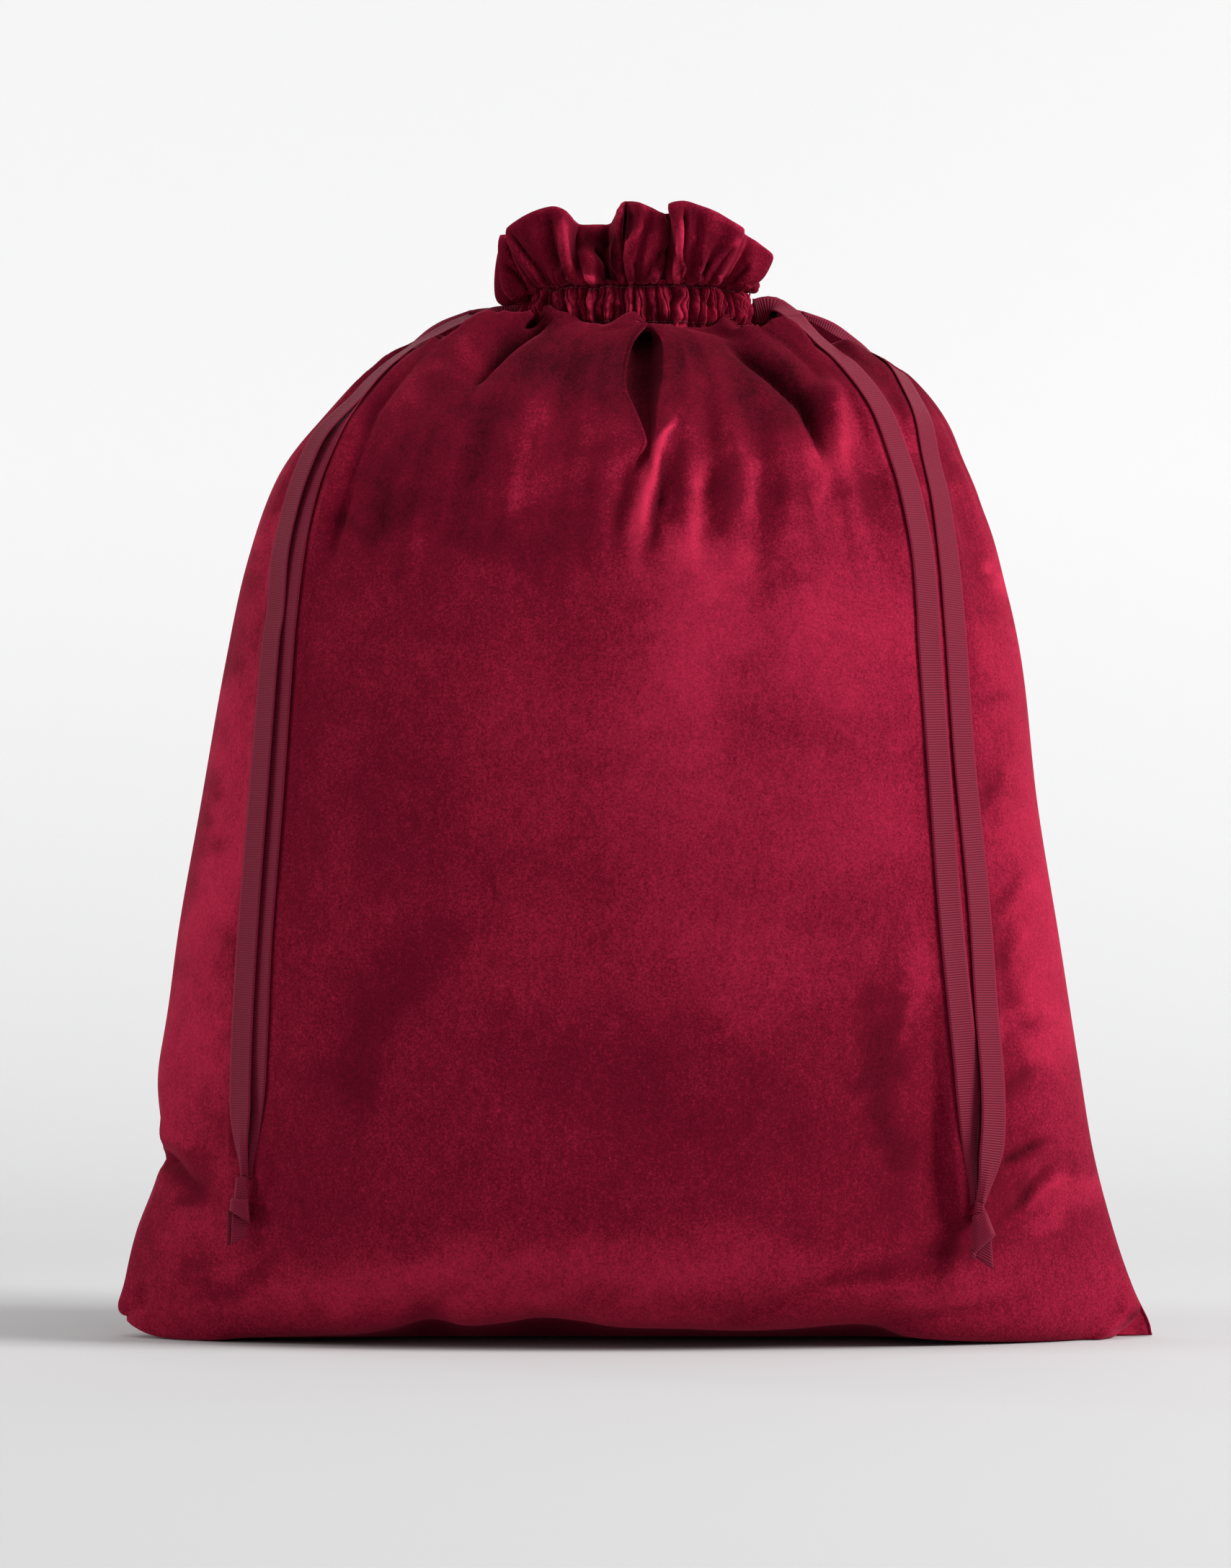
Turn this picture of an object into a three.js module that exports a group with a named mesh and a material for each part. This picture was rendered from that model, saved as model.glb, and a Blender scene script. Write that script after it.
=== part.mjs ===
// A velvet drawstring gift sack, closed and standing full: two flat-cut panels sewn at the sides and
// along the bottom, a gathered drawstring casing with a frill above it, and two grosgrain drawstrings
// that leave the casing at opposite side slits, lie over the shoulders and end in knots.
// Millimetres, +Z up, front towards -Y, origin on the floor under the middle of the sack.
import * as THREE from "three";

// ---- Driving dimensions ----
const CLOTH = 2.4; // wall of one velvet layer with its pile
const GAP = 0.3; // clearance between separate pieces
const RIBBON_WIDTH = 16;
const RIBBON_THICK = 0.5;
const RUN_INSET = 7.4; // how far inside the casing's outside the ribbons run
const RUN_EXIT_Y = 1.4; // how far each end of a ribbon leaves the slit from its middle
const SEAM_TURNING = 10; // width of the turned-in seam edges
const NECK_HALF_WIDTH = 66;
const NECK_HALF_DEPTH = 36;
const CASING_BOTTOM = 583;
const CASING_TOP = 609;
const FRILL_TOP = 655;
const FRILL_FLARE_X = 17; // how much wider than the neck the frill stands, each side
const FRILL_FLARE_Y = 12;
const SLIT_HALF = 4; // half the width of a drawstring slit between the casing halves
const BOTTOM_TURNING_LENGTH = 440;
const STITCH_THICK = 0.8;
const TACK = { thick: 1, width: 7, height: 1.6, inset: 0.6 }; // short dense stitches at a slit's ends
const EDGE_POWER = 2.3; // roundness of every cross-section of the sack in plan

// The filled sack, ring by ring from the bottom seam to the neck: height, half-width to the left and
// right seam, half-depth, how round the seam edge is (1 is a sharp lens, 2 an ellipse) and how far the
// ring dips at the side seams, where the drawstrings lie in a valley.
const RINGS = [
  { z: 0, left: 300, right: 300, depth: 0, round: 1.2, dip: 0 },
  { z: 0, left: 300, right: 300, depth: 50, round: 1.2, dip: 0 },
  { z: 0, left: 300, right: 300, depth: 92, round: 1.2, dip: 0 },
  { z: 9, left: 300, right: 298, depth: 112, round: 1.2, dip: 0 },
  { z: 28, left: 299, right: 289, depth: 124, round: 1.25, dip: 0 },
  { z: 60, left: 292, right: 278, depth: 129, round: 1.35, dip: 0 },
  { z: 106, left: 276, right: 266, depth: 132, round: 1.5, dip: 0 },
  { z: 160, left: 275, right: 257, depth: 134, round: 1.65, dip: 0 },
  { z: 230, left: 268, right: 246, depth: 135, round: 1.8, dip: 0 },
  { z: 310, left: 254, right: 233, depth: 134, round: 1.9, dip: 0 },
  { z: 390, left: 240, right: 224, depth: 129, round: 1.95, dip: 0 },
  { z: 450, left: 227, right: 210, depth: 119, round: 2, dip: 0 },
  { z: 500, left: 209, right: 193, depth: 104, round: 2, dip: 0 },
  { z: 533, left: 184, right: 180, depth: 87, round: 2, dip: 1 },
  { z: 556, left: 160, right: 160, depth: 70, round: 2, dip: 3 },
  { z: 573, left: 136, right: 130, depth: 55, round: 2, dip: 7 },
  { z: 583, left: 100, right: 98, depth: 44, round: 2, dip: 9 },
  { z: 583, left: 66.5, right: 66.5, depth: 36.5, round: 2, dip: 0 },
];

// The stretches of ribbon outside the casing, as points along the ribbon's middle: x, y, z, and near the
// slits and at the cut ends the way the ribbon's face looks too. Each side's front and back leads come
// out of the slit on edge and turn over the shoulder.
const LEFT_FRONT_LEAD = [
  [-67.2, -1.4, 596, 0, -1, 0],
  [-72, -1.6, 596, 0, -1, 0.05],
  [-80, -3.4, 595.6, -0.05, -0.85, 0.5],
  [-88, -7, 593.8, -0.15, -0.5, 0.85],
  [-94, -10, 591.5, -0.25, -0.35, 0.9],
];
const LEFT_BACK_LEAD = [
  [-67.2, 1.4, 596, 0, -1, 0],
  [-71, 1.4, 596, 0, -1, 0],
  [-80, 2, 594.5, 0, -1, 0],
  [-88, 2.6, 592.3, 0, -1, 0],
  [-94, 2.8, 590.3, 0, -1, 0],
];
const LEFT_OUTER_TAIL = [
  [-94.8, -10.7, 592.5, -0.25, -0.35, 0.9],
  [-106, -15.4, 587.6, -0.3, -0.35, 0.9],
  [-118, -19, 580.8, -0.4, -0.35, 0.85],
  [-130, -22.5, 573.3],
  [-143, -28, 563],
  [-153, -32.5, 553],
  [-162, -39.8, 541.6],
  [-181.3, -49.6, 520.4],
  [-191.8, -54.3, 497.7],
  [-198.6, -56.4, 475.2],
  [-203.8, -61.9, 448.6],
  [-206, -66.8, 416],
  [-209, -69.2, 394],
  [-215, -76.8, 313],
  [-221, -79, 232],
  [-224.5, -77.5, 171],
  [-225.5, -76, 126],
  [-224.5, -76.5, 106],
  [-223.6, -77.5, 95],
];
const LEFT_INNER_TAIL = [
  [-94.4, 1.2, 590.1, 0, -1, 0],
  [-106, 1.2, 586, 0, -1, 0.05],
  [-116, 0, 582.5, -0.1, -0.8, 0.5],
  [-126, -4.5, 577, -0.3, -0.45, 0.85],
  [-137, -13, 569],
  [-148, -23.5, 559],
  [-158, -33.2, 546.8],
  [-166.3, -43.2, 534],
  [-174, -52.4, 520.4],
  [-183.3, -59, 497.9],
  [-189.7, -62.7, 475.2],
  [-194.8, -68.4, 448.6],
  [-198.6, -73, 416],
  [-200.5, -74.7, 394],
  [-206, -81.5, 313],
  [-212.5, -83.3, 232],
  [-215.5, -81.8, 171],
  [-218, -77, 126],
  [-220.5, -74.8, 106],
  [-221.6, -74.4, 95],
];
const RIGHT_FRONT_LEAD = [
  [67.3, -1.4, 596, 0, -1, 0],
  [70, -1.5, 596.1, 0, -1, 0.05],
  [78, -4.2, 598.6, 0.1, -0.85, 0.5],
  [84, -9.2, 597.4, 0.3, -0.6, 0.75],
  [90, -14.5, 592.8, 0.35, -0.5, 0.8],
];
const RIGHT_BACK_LEAD = [
  [67.2, 1.4, 596, 0, -1, 0],
  [71, 1.5, 596, 0, -1, 0],
  [80, 3.5, 594, 0, -1, 0],
  [88, 5.5, 592, 0, -1, 0],
  [94, 6.8, 590.2, 0, -1, 0],
];
const RIGHT_INNER_TAIL = [
  [90.4, -14.9, 592.2, 0.35, -0.5, 0.8],
  [101, -23.5, 580.8],
  [110, -33.5, 571],
  [119, -46.4, 561.8],
  [131, -57.8, 545.8],
  [140.4, -64.2, 529],
  [148.5, -68.6, 506],
  [154.8, -74.4, 484],
  [161, -81.8, 450],
  [163.6, -88.1, 416],
  [164.5, -92.4, 393],
  [169, -95.2, 333],
  [175, -97.5, 252],
  [181, -99, 191],
  [185, -101, 151],
  [187, -101, 112],
  [189, -99, 92],
  [189.6, -97.8, 81.5],
];
const RIGHT_OUTER_TAIL = [
  [94.4, 5.6, 590, 0, -1, 0],
  [110, 6.2, 585, 0, -0.95, 0.3],
  [125, 3.5, 578, 0.2, -0.5, 0.85],
  [139, -6, 568.5],
  [150, -19.4, 560.4],
  [158, -32.5, 545],
  [164, -45, 528.5],
  [168, -52.4, 505],
  [173, -61.2, 480],
  [177, -71.4, 444],
  [179, -76.5, 417],
  [180.5, -80.6, 394],
  [184.5, -84.4, 333],
  [192.5, -86, 252],
  [196.5, -91, 191],
  [199.5, -97, 151],
  [199.5, -100.5, 121],
  [196.5, -101.5, 98],
  [193, -101.4, 81.5],
];
// Each knot: its middle, half-width, half-depth, half-height and lean to the side in radians.
const LEFT_KNOT = { at: [-222.8, -78.8, 82], half: [6, 4.4, 12], lean: -0.05 };
const RIGHT_KNOT = { at: [191.5, -100, 66], half: [8, 5, 14], lean: 0.12 };
// The cut ends under each knot, from the knot down to the slanting cut.
const LEFT_FRONT_END = [
  [-223.4, -79.5, 69.5, -0.3, -1, 0],
  [-224, -79.8, 62, -0.3, -1, 0],
  [-224.5, -80, 54.5, -0.3, -1, 0],
];
const LEFT_BACK_END = [
  [-223, -76.5, 69.5, -0.4, -1, 0],
  [-223.6, -76.6, 63, -0.4, -1, 0],
  [-224.4, -76.8, 58, -0.4, -1, 0],
];
const RIGHT_FRONT_END = [
  [192.5, -101.6, 51.5, 0.2, -1, 0],
  [194, -102, 46, 0.2, -1, 0],
  [195, -102.4, 40, 0.2, -1, 0],
];
const RIGHT_BACK_END = [
  [191.5, -98.6, 51.5, 0.2, -1, 0],
  [192.5, -98.8, 47, 0.2, -1, 0],
  [193, -99.2, 43, 0.2, -1, 0],
];

// ---- Materials ----
const velvet = new THREE.MeshStandardMaterial({ color: "#7d1230", roughness: 0.85, metalness: 0 });
const velvetBack = new THREE.MeshStandardMaterial({ color: "#5f0f26", roughness: 0.95, metalness: 0 });
const grosgrain = new THREE.MeshStandardMaterial({ color: "#6e2140", roughness: 0.55, metalness: 0 });
const thread = new THREE.MeshStandardMaterial({ color: "#6a1029", roughness: 0.7, metalness: 0 });

const sack = new THREE.Group();

function addPiece(name, geometry, material) {
  const mesh = new THREE.Mesh(geometry, material);
  mesh.name = name;
  sack.add(mesh);
}

// ---- Building closed solids from grids of points ----

// Joins triangles into one indexed geometry, merging points in one place and dropping the slivers
// that a collapsed edge leaves. Faces are turned to point out.
function closedGeometry(triangles) {
  const places = new Map();
  const positions = [];
  const indices = [];
  const indexOf = (point) => {
    const key = point.toArray().map((value) => value.toFixed(3)).join();
    if (!places.has(key)) {
      places.set(key, places.size);
      positions.push(point.x, point.y, point.z);
    }
    return places.get(key);
  };
  let volume = 0;
  for (const corners of triangles) {
    const [a, b, c] = corners.map(indexOf);
    if (a === b || b === c || c === a) continue;
    indices.push(a, b, c);
    volume += corners[0].dot(corners[1].clone().cross(corners[2]));
  }
  if (volume < 0) indices.reverse();
  const geometry = new THREE.BufferGeometry();
  geometry.setAttribute("position", new THREE.Float32BufferAttribute(positions, 3));
  geometry.setIndex(indices);
  geometry.computeVertexNormals();
  return geometry;
}

function quad(a, b, c, d) {
  return [[a, b, c], [a, c, d]];
}

// The solid between two grids of points, grid[row][column], closed round their edges.
function sheetSolid(outer, inner) {
  const rows = outer.length - 1;
  const columns = outer[0].length - 1;
  const triangles = [];
  for (let r = 0; r < rows; r++) {
    for (let c = 0; c < columns; c++) {
      triangles.push(...quad(outer[r][c], outer[r][c + 1], outer[r + 1][c + 1], outer[r + 1][c]));
      triangles.push(...quad(inner[r][c], inner[r + 1][c], inner[r + 1][c + 1], inner[r][c + 1]));
    }
    triangles.push(...quad(outer[r][0], outer[r + 1][0], inner[r + 1][0], inner[r][0]));
    const [low, high] = [r, r + 1].map((row) => [outer[row][columns], inner[row][columns]]);
    triangles.push(...quad(high[0], low[0], low[1], high[1]));
  }
  for (let c = 0; c < columns; c++) {
    triangles.push(...quad(outer[0][c + 1], outer[0][c], inner[0][c], inner[0][c + 1]));
    triangles.push(...quad(outer[rows][c], outer[rows][c + 1], inner[rows][c + 1], inner[rows][c]));
  }
  return closedGeometry(triangles);
}

function grid(rows, columns, pointAt) {
  return Array.from({ length: rows + 1 }, (_, r) =>
    Array.from({ length: columns + 1 }, (_, c) => pointAt(c / columns, r / rows)),
  );
}

// ---- The sack's surface ----

function smoothBetween(before, from, to, after, share) {
  const bend = 2 * before - 5 * from + 4 * to - after;
  const twist = 3 * (from - to) + after - before;
  return from + 0.5 * share * (to - before + share * (bend + share * twist));
}

// The ring at a height share, from 0 at the bottom seam to 1 at the neck.
function ringAt(share) {
  const last = RINGS.length - 1;
  const place = Math.min(Math.max(share, 0), 1) * last;
  const first = Math.min(Math.floor(place), last - 1);
  const near = [-1, 0, 1, 2].map((step) => RINGS[Math.min(Math.max(first + step, 0), last)]);
  const ring = {};
  for (const key of Object.keys(RINGS[0])) {
    ring[key] = smoothBetween(...near.map((row) => row[key]), place - first);
  }
  ring.z = Math.max(0, ring.z);
  return ring;
}

// The same ring on the inside of the cloth: set in from the sides, and below the flat of the shoulder.
function liningAt(share) {
  const ring = ringAt(share);
  const flat = THREE.MathUtils.smoothstep(share, 0.75, 0.97);
  ring.left -= CLOTH * (1 - flat);
  ring.right -= CLOTH * (1 - flat);
  ring.depth = Math.max(0, ring.depth - CLOTH * (1 - flat));
  ring.z = Math.max(CLOTH, ring.z - CLOTH * flat);
  return ring;
}

// A point on a ring of the front (side -1) or back (side 1) panel, across from seam to seam.
function ringPoint(ring, side, across) {
  const reach = Math.sin((across - 0.5) * Math.PI);
  const halfWidth = reach < 0 ? ring.left : ring.right;
  const fullness = (1 - Math.min(1, Math.abs(reach) ** EDGE_POWER)) ** (1 / ring.round);
  const depth = GAP / 2 + ring.depth * fullness;
  return new THREE.Vector3(reach * halfWidth, side * depth, ring.z - ring.dip * reach ** 8);
}

function addPanel(name, side) {
  const rows = RINGS.length - 1;
  const columns = 24;
  const outer = grid(rows, columns, (across, up) => ringPoint(ringAt(up), side, across));
  const inner = grid(rows, columns, (across, up) => ringPoint(liningAt(up), side, across));
  addPiece(name, sheetSolid(outer, inner), velvet);
}

addPanel("front_panel", -1);
addPanel("back_panel", 1);

// ---- Turned-in seam edges inside the sack ----

// The side turnings run between two shares of the rings, clear of the cloth beside them.
const TURNING_FROM = 0.24;
const TURNING_TO = 0.7;
const TURNING_CLEAR = CLOTH + 2;
const TURNING_ROWS = 12;

function addSideTurning(name, direction) {
  const seamPoint = (up, inset, y) => {
    const ring = ringAt(up);
    return new THREE.Vector3(direction * ((direction < 0 ? ring.left : ring.right) - inset), y, ring.z);
  };
  const layer = (y) =>
    grid(TURNING_ROWS, 1, (wide, up) => {
      const place = TURNING_FROM + up * (TURNING_TO - TURNING_FROM);
      return seamPoint(place, TURNING_CLEAR + wide * SEAM_TURNING, y);
    });
  addPiece(name, sheetSolid(layer(-CLOTH / 2), layer(CLOTH / 2)), velvetBack);
}

addSideTurning("left_side_seam", -1);
addSideTurning("right_side_seam", 1);

const bottomTurning = new THREE.BoxGeometry(BOTTOM_TURNING_LENGTH, CLOTH, SEAM_TURNING);
bottomTurning.translate(0, 0, CLOTH + GAP + SEAM_TURNING / 2);
addPiece("bottom_seam", bottomTurning, velvetBack);

// ---- The gathered neck: casing, facing, frill and stitching ----

// A point on an oval round the neck. Turn 0 is the left slit, and turn grows across the front.
function neckPoint(side, turn, halfWidth, halfDepth, z) {
  const angle = turn * Math.PI;
  return new THREE.Vector3(-halfWidth * Math.cos(angle), side * halfDepth * Math.sin(angle), z);
}

// The share of a half oval that keeps a slit of the given half-width open at each end.
function slitShare(halfWidth, halfDepth) {
  return Math.asin(halfWidth / halfDepth) / Math.PI;
}

function addNeckWall(name, side, wall) {
  const start = slitShare(wall.slit, NECK_HALF_DEPTH - wall.inset);
  const layer = (extra) =>
    grid(wall.rows, wall.columns, (across, up) => {
      const turn = start + across * (1 - 2 * start);
      const valley = 0.5 - 0.5 * Math.cos(2 * Math.PI * wall.folds * across);
      const inset = wall.inset + extra + wall.gather * valley;
      const z = wall.low + up * (wall.high - wall.low);
      return neckPoint(side, turn, NECK_HALF_WIDTH - inset, NECK_HALF_DEPTH - inset, z);
    });
  addPiece(name, sheetSolid(layer(0), layer(wall.thick)), wall.material);
}

const CASING = {
  inset: 0, thick: 2, gather: 2.5, folds: 13, slit: SLIT_HALF, rows: 1, columns: 52,
  low: CASING_BOTTOM + GAP, high: CASING_TOP, material: velvet,
};
const FACING = {
  inset: 11, thick: 1.8, gather: 0, folds: 0, slit: 0.6, rows: 1, columns: 20,
  low: CASING_BOTTOM + GAP, high: CASING_TOP, material: velvetBack,
};
for (const [half, side] of [["front", -1], ["back", 1]]) {
  addNeckWall(`${half}_casing`, side, CASING);
  addNeckWall(`${half}_facing`, side, FACING);
}

// The frill's waves grow from its foot to its top edge, which droops at the seams and between folds.
const FRILL = {
  thick: 3.6, folds: 7, rows: 3, columns: 42, inset: 2, footWave: 0.8, waveGrowth: 4.2,
  flarePower: 0.8, seamDroop: 10, valleyDroop: 1.4,
};

function addFrill(name, side) {
  const start = slitShare(GAP / 2, NECK_HALF_DEPTH - FRILL.thick);
  const layer = (thickness) =>
    grid(FRILL.rows, FRILL.columns, (across, up) => {
      const turn = start + across * (1 - 2 * start);
      const middle = Math.sin(turn * Math.PI);
      const fold = Math.cos(2 * Math.PI * FRILL.folds * across);
      const wave = (FRILL.footWave + FRILL.waveGrowth * up) * (fold - 1) * middle;
      const flare = up ** FRILL.flarePower;
      const width = NECK_HALF_WIDTH - FRILL.inset - thickness + FRILL_FLARE_X * flare + wave;
      const depth = NECK_HALF_DEPTH - FRILL.inset - thickness + FRILL_FLARE_Y * flare + wave;
      const droop = up * (FRILL.seamDroop * (1 - middle) ** 2 + FRILL.valleyDroop * (1 - fold));
      const z = CASING_TOP + GAP + up * (FRILL_TOP - CASING_TOP - GAP) - droop;
      const point = neckPoint(side, turn, width, depth, z);
      point.y = side * Math.max(GAP / 2, side * point.y);
      return point;
    });
  addPiece(name, sheetSolid(layer(0), layer(FRILL.thick)), velvet);
}

addFrill("front_frill", -1);
addFrill("back_frill", 1);

// A row of stitching laid on the casing, as one thin band from slit to slit.
const STITCHING_STEPS = 22;

function addStitching(name, side, z) {
  const band = (outset, height) => ({ outset, height });
  const corner = ({ outset, height }) => (across) => {
    const start = slitShare(SLIT_HALF, NECK_HALF_DEPTH);
    const turn = start + across * (1 - 2 * start);
    return neckPoint(side, turn, NECK_HALF_WIDTH + outset, NECK_HALF_DEPTH + outset, z + height);
  };
  const outside = GAP + STITCH_THICK;
  const bands = [band(GAP, 0), band(GAP, STITCH_THICK), band(outside, STITCH_THICK), band(outside, 0)];
  addPiece(name, tubeSolid(bands.map(corner), STITCHING_STEPS), thread);
}

// The solid swept by four corner points that each depend on a share from 0 to 1 along the sweep. Both
// broad faces are split along the same diagonals, so that they stay apart where a ribbon twists.
function tubeSolid(edges, steps) {
  const loops = Array.from({ length: steps + 1 }, (_, s) => edges.map((edge) => edge(s / steps)));
  const triangles = [];
  const count = edges.length;
  for (let s = 0; s < steps; s++) {
    for (let e = 0; e < count; e++) {
      const next = (e + 1) % count;
      const corners = [loops[s][e], loops[s + 1][e], loops[s + 1][next], loops[s][next]];
      if (e > 1) corners.push(corners.shift());
      triangles.push(...quad(...corners));
    }
  }
  const [first, last] = [loops[0], loops[steps]];
  triangles.push(...quad(first[0], first[1], first[2], first[3]));
  triangles.push(...quad(last[3], last[2], last[1], last[0]));
  return closedGeometry(triangles);
}

const UPPER_STITCHING = CASING_TOP - 3;
const LOWER_STITCHING = CASING_BOTTOM + 7;
for (const [half, side] of [["front", -1], ["back", 1]]) {
  addStitching(`${half}_upper_stitching`, side, UPPER_STITCHING);
  addStitching(`${half}_lower_stitching`, side, LOWER_STITCHING);
}

// Short dense stitches across the top and bottom of each slit keep it from tearing.
const UPPER_TACK = CASING_TOP - 2;
const LOWER_TACK = CASING_BOTTOM + 2.5;
for (const [hand, direction] of [["left", -1], ["right", 1]]) {
  for (const [level, z] of [["upper", UPPER_TACK], ["lower", LOWER_TACK]]) {
    const tack = new THREE.BoxGeometry(TACK.thick, TACK.width, TACK.height);
    tack.translate(direction * (NECK_HALF_WIDTH - TACK.inset), 0, z);
    addPiece(`${hand}_exit_${level}_bartack`, tack, thread);
  }
}

// ---- The drawstrings ----

// A flat ribbon along a smooth route. Each route point holds x, y and z, and the way its face looks,
// or else the face looks away from the middle of the sack.
function ribbonSolid(route, steps, cut = 0) {
  const curve = new THREE.CatmullRomCurve3(route.map(([x, y, z]) => new THREE.Vector3(x, y, z)));
  const faces = new THREE.CatmullRomCurve3(route.map(faceAt));
  const corner = (across, out) => (share) => {
    const t = curve.getUtoTmapping(share);
    const tangent = curve.getTangent(t);
    const face = faces.getPoint(t).addScaledVector(tangent, -faces.getPoint(t).dot(tangent)).normalize();
    const wide = tangent.clone().cross(face).normalize();
    const slant = share === 1 ? cut * across : 0;
    return curve
      .getPoint(t)
      .addScaledVector(wide, (across * RIBBON_WIDTH) / 2)
      .addScaledVector(face, (out * RIBBON_THICK) / 2)
      .addScaledVector(tangent, slant);
  };
  return tubeSolid([corner(-1, -1), corner(1, -1), corner(1, 1), corner(-1, 1)], steps);
}

// How far a lying ribbon's face looks sideways and upwards, each growing between two heights.
const FACE_SIDEWAYS = { least: 0.27, rise: 0.08, from: 150, to: 350 };
const FACE_UP_FLANK = { least: 0, rise: 0.25, from: 200, to: 460 };
const FACE_UP_SHOULDER = { least: 0, rise: 0.6, from: 470, to: 590 };

function graded({ least, rise, from, to }, z) {
  return least + rise * THREE.MathUtils.smoothstep(z, from, to);
}

// The way a ribbon's face looks at a route point that doesn't say: out from the sack beneath it, and
// more and more upwards towards the shoulder.
function faceAt([x, y, z, faceX, faceY, faceZ]) {
  if (faceX !== undefined) return new THREE.Vector3(faceX, faceY, faceZ).normalize();
  const sideways = graded(FACE_SIDEWAYS, z);
  const upwards = graded(FACE_UP_FLANK, z) + graded(FACE_UP_SHOULDER, z);
  const level = new THREE.Vector3(sideways * x, y, 0).setLength(Math.sqrt(1 - upwards ** 2));
  return level.setZ(upwards);
}

function addKnot(name, { at, half, lean }) {
  const knot = new THREE.IcosahedronGeometry(1, 1);
  knot.scale(...half);
  knot.rotateY(lean);
  knot.translate(...at);
  addPiece(name, knot, grosgrain);
}

const LEAD_STEPS = 8;
const TAIL_STEPS = 32;
const END_STEPS = 2;
const CUT_SLANT = 3;
addPiece("left_front_lead", ribbonSolid(LEFT_FRONT_LEAD, LEAD_STEPS), grosgrain);
addPiece("left_back_lead", ribbonSolid(LEFT_BACK_LEAD, LEAD_STEPS), grosgrain);
addPiece("left_outer_tail", ribbonSolid(LEFT_OUTER_TAIL, TAIL_STEPS), grosgrain);
addPiece("left_inner_tail", ribbonSolid(LEFT_INNER_TAIL, TAIL_STEPS), grosgrain);
addKnot("left_knot", LEFT_KNOT);
addPiece("left_front_end", ribbonSolid(LEFT_FRONT_END, END_STEPS, CUT_SLANT), grosgrain);
addPiece("left_back_end", ribbonSolid(LEFT_BACK_END, END_STEPS, -CUT_SLANT), grosgrain);
addPiece("right_front_lead", ribbonSolid(RIGHT_FRONT_LEAD, LEAD_STEPS), grosgrain);
addPiece("right_back_lead", ribbonSolid(RIGHT_BACK_LEAD, LEAD_STEPS), grosgrain);
addPiece("right_inner_tail", ribbonSolid(RIGHT_INNER_TAIL, TAIL_STEPS), grosgrain);
addPiece("right_outer_tail", ribbonSolid(RIGHT_OUTER_TAIL, TAIL_STEPS), grosgrain);
addKnot("right_knot", RIGHT_KNOT);
addPiece("right_front_end", ribbonSolid(RIGHT_FRONT_END, END_STEPS, -CUT_SLANT), grosgrain);
addPiece("right_back_end", ribbonSolid(RIGHT_BACK_END, END_STEPS, CUT_SLANT), grosgrain);

// The stretch of each drawstring inside the casing: in at its own slit, once round the neck, and out.
// Two ribbons are wider together than the casing is tall, so past the slits each rucks narrower, one
// running low and the other high, and each passes inside the other's slit.
const RUN = {
  steps: 40, mouthAngle: 0.1, mouthShare: 0.04, rucksFrom: 0.04, rucksTo: 0.3,
  farInset: 2.4, narrowing: 2, level: 6.3, lookAhead: 0.005,
};

function addRun(name, direction, level) {
  const middle = (CASING_BOTTOM + CASING_TOP) / 2;
  const outside = NECK_HALF_WIDTH + GAP;
  const along = (share) => {
    const inMouth = Math.min(share, 1 - share) / RUN.mouthShare;
    const turn = THREE.MathUtils.clamp((share - RUN.mouthShare) / (1 - 2 * RUN.mouthShare), 0, 1);
    const angle = RUN.mouthAngle + turn * (2 * Math.PI - 2 * RUN.mouthAngle);
    const away = (1 - Math.cos(angle)) / 2;
    const rucked = THREE.MathUtils.smoothstep(away, RUN.rucksFrom, RUN.rucksTo);
    const inset = RUN_INSET + RUN.farInset * away;
    const x = (NECK_HALF_WIDTH - inset) * Math.cos(angle);
    const y = (NECK_HALF_DEPTH - inset) * Math.sin(angle);
    const entering = Math.min(inMouth, 1);
    const exitY = Math.sign(0.5 - share) * RUN_EXIT_Y;
    return {
      x: direction * THREE.MathUtils.lerp(outside, x, entering),
      y: THREE.MathUtils.lerp(exitY, y, entering),
      z: middle + rucked * level,
      halfHeight: RIBBON_WIDTH / 2 - RUN.narrowing * rucked,
    };
  };
  const corner = (up, out) => (share) => {
    const here = along(share);
    const ahead = along(Math.min(1, share + RUN.lookAhead));
    const behind = along(Math.max(0, share - RUN.lookAhead));
    const across = new THREE.Vector3(ahead.y - behind.y, behind.x - ahead.x, 0);
    across.setLength((out * RIBBON_THICK) / 2);
    return across.add(new THREE.Vector3(here.x, here.y, here.z + up * here.halfHeight));
  };
  const corners = [corner(-1, -1), corner(1, -1), corner(1, 1), corner(-1, 1)];
  addPiece(name, tubeSolid(corners, RUN.steps), grosgrain);
}

addRun("left_ribbon_run", -1, -RUN.level);
addRun("right_ribbon_run", 1, RUN.level);

export default sack;
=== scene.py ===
import math

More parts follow.
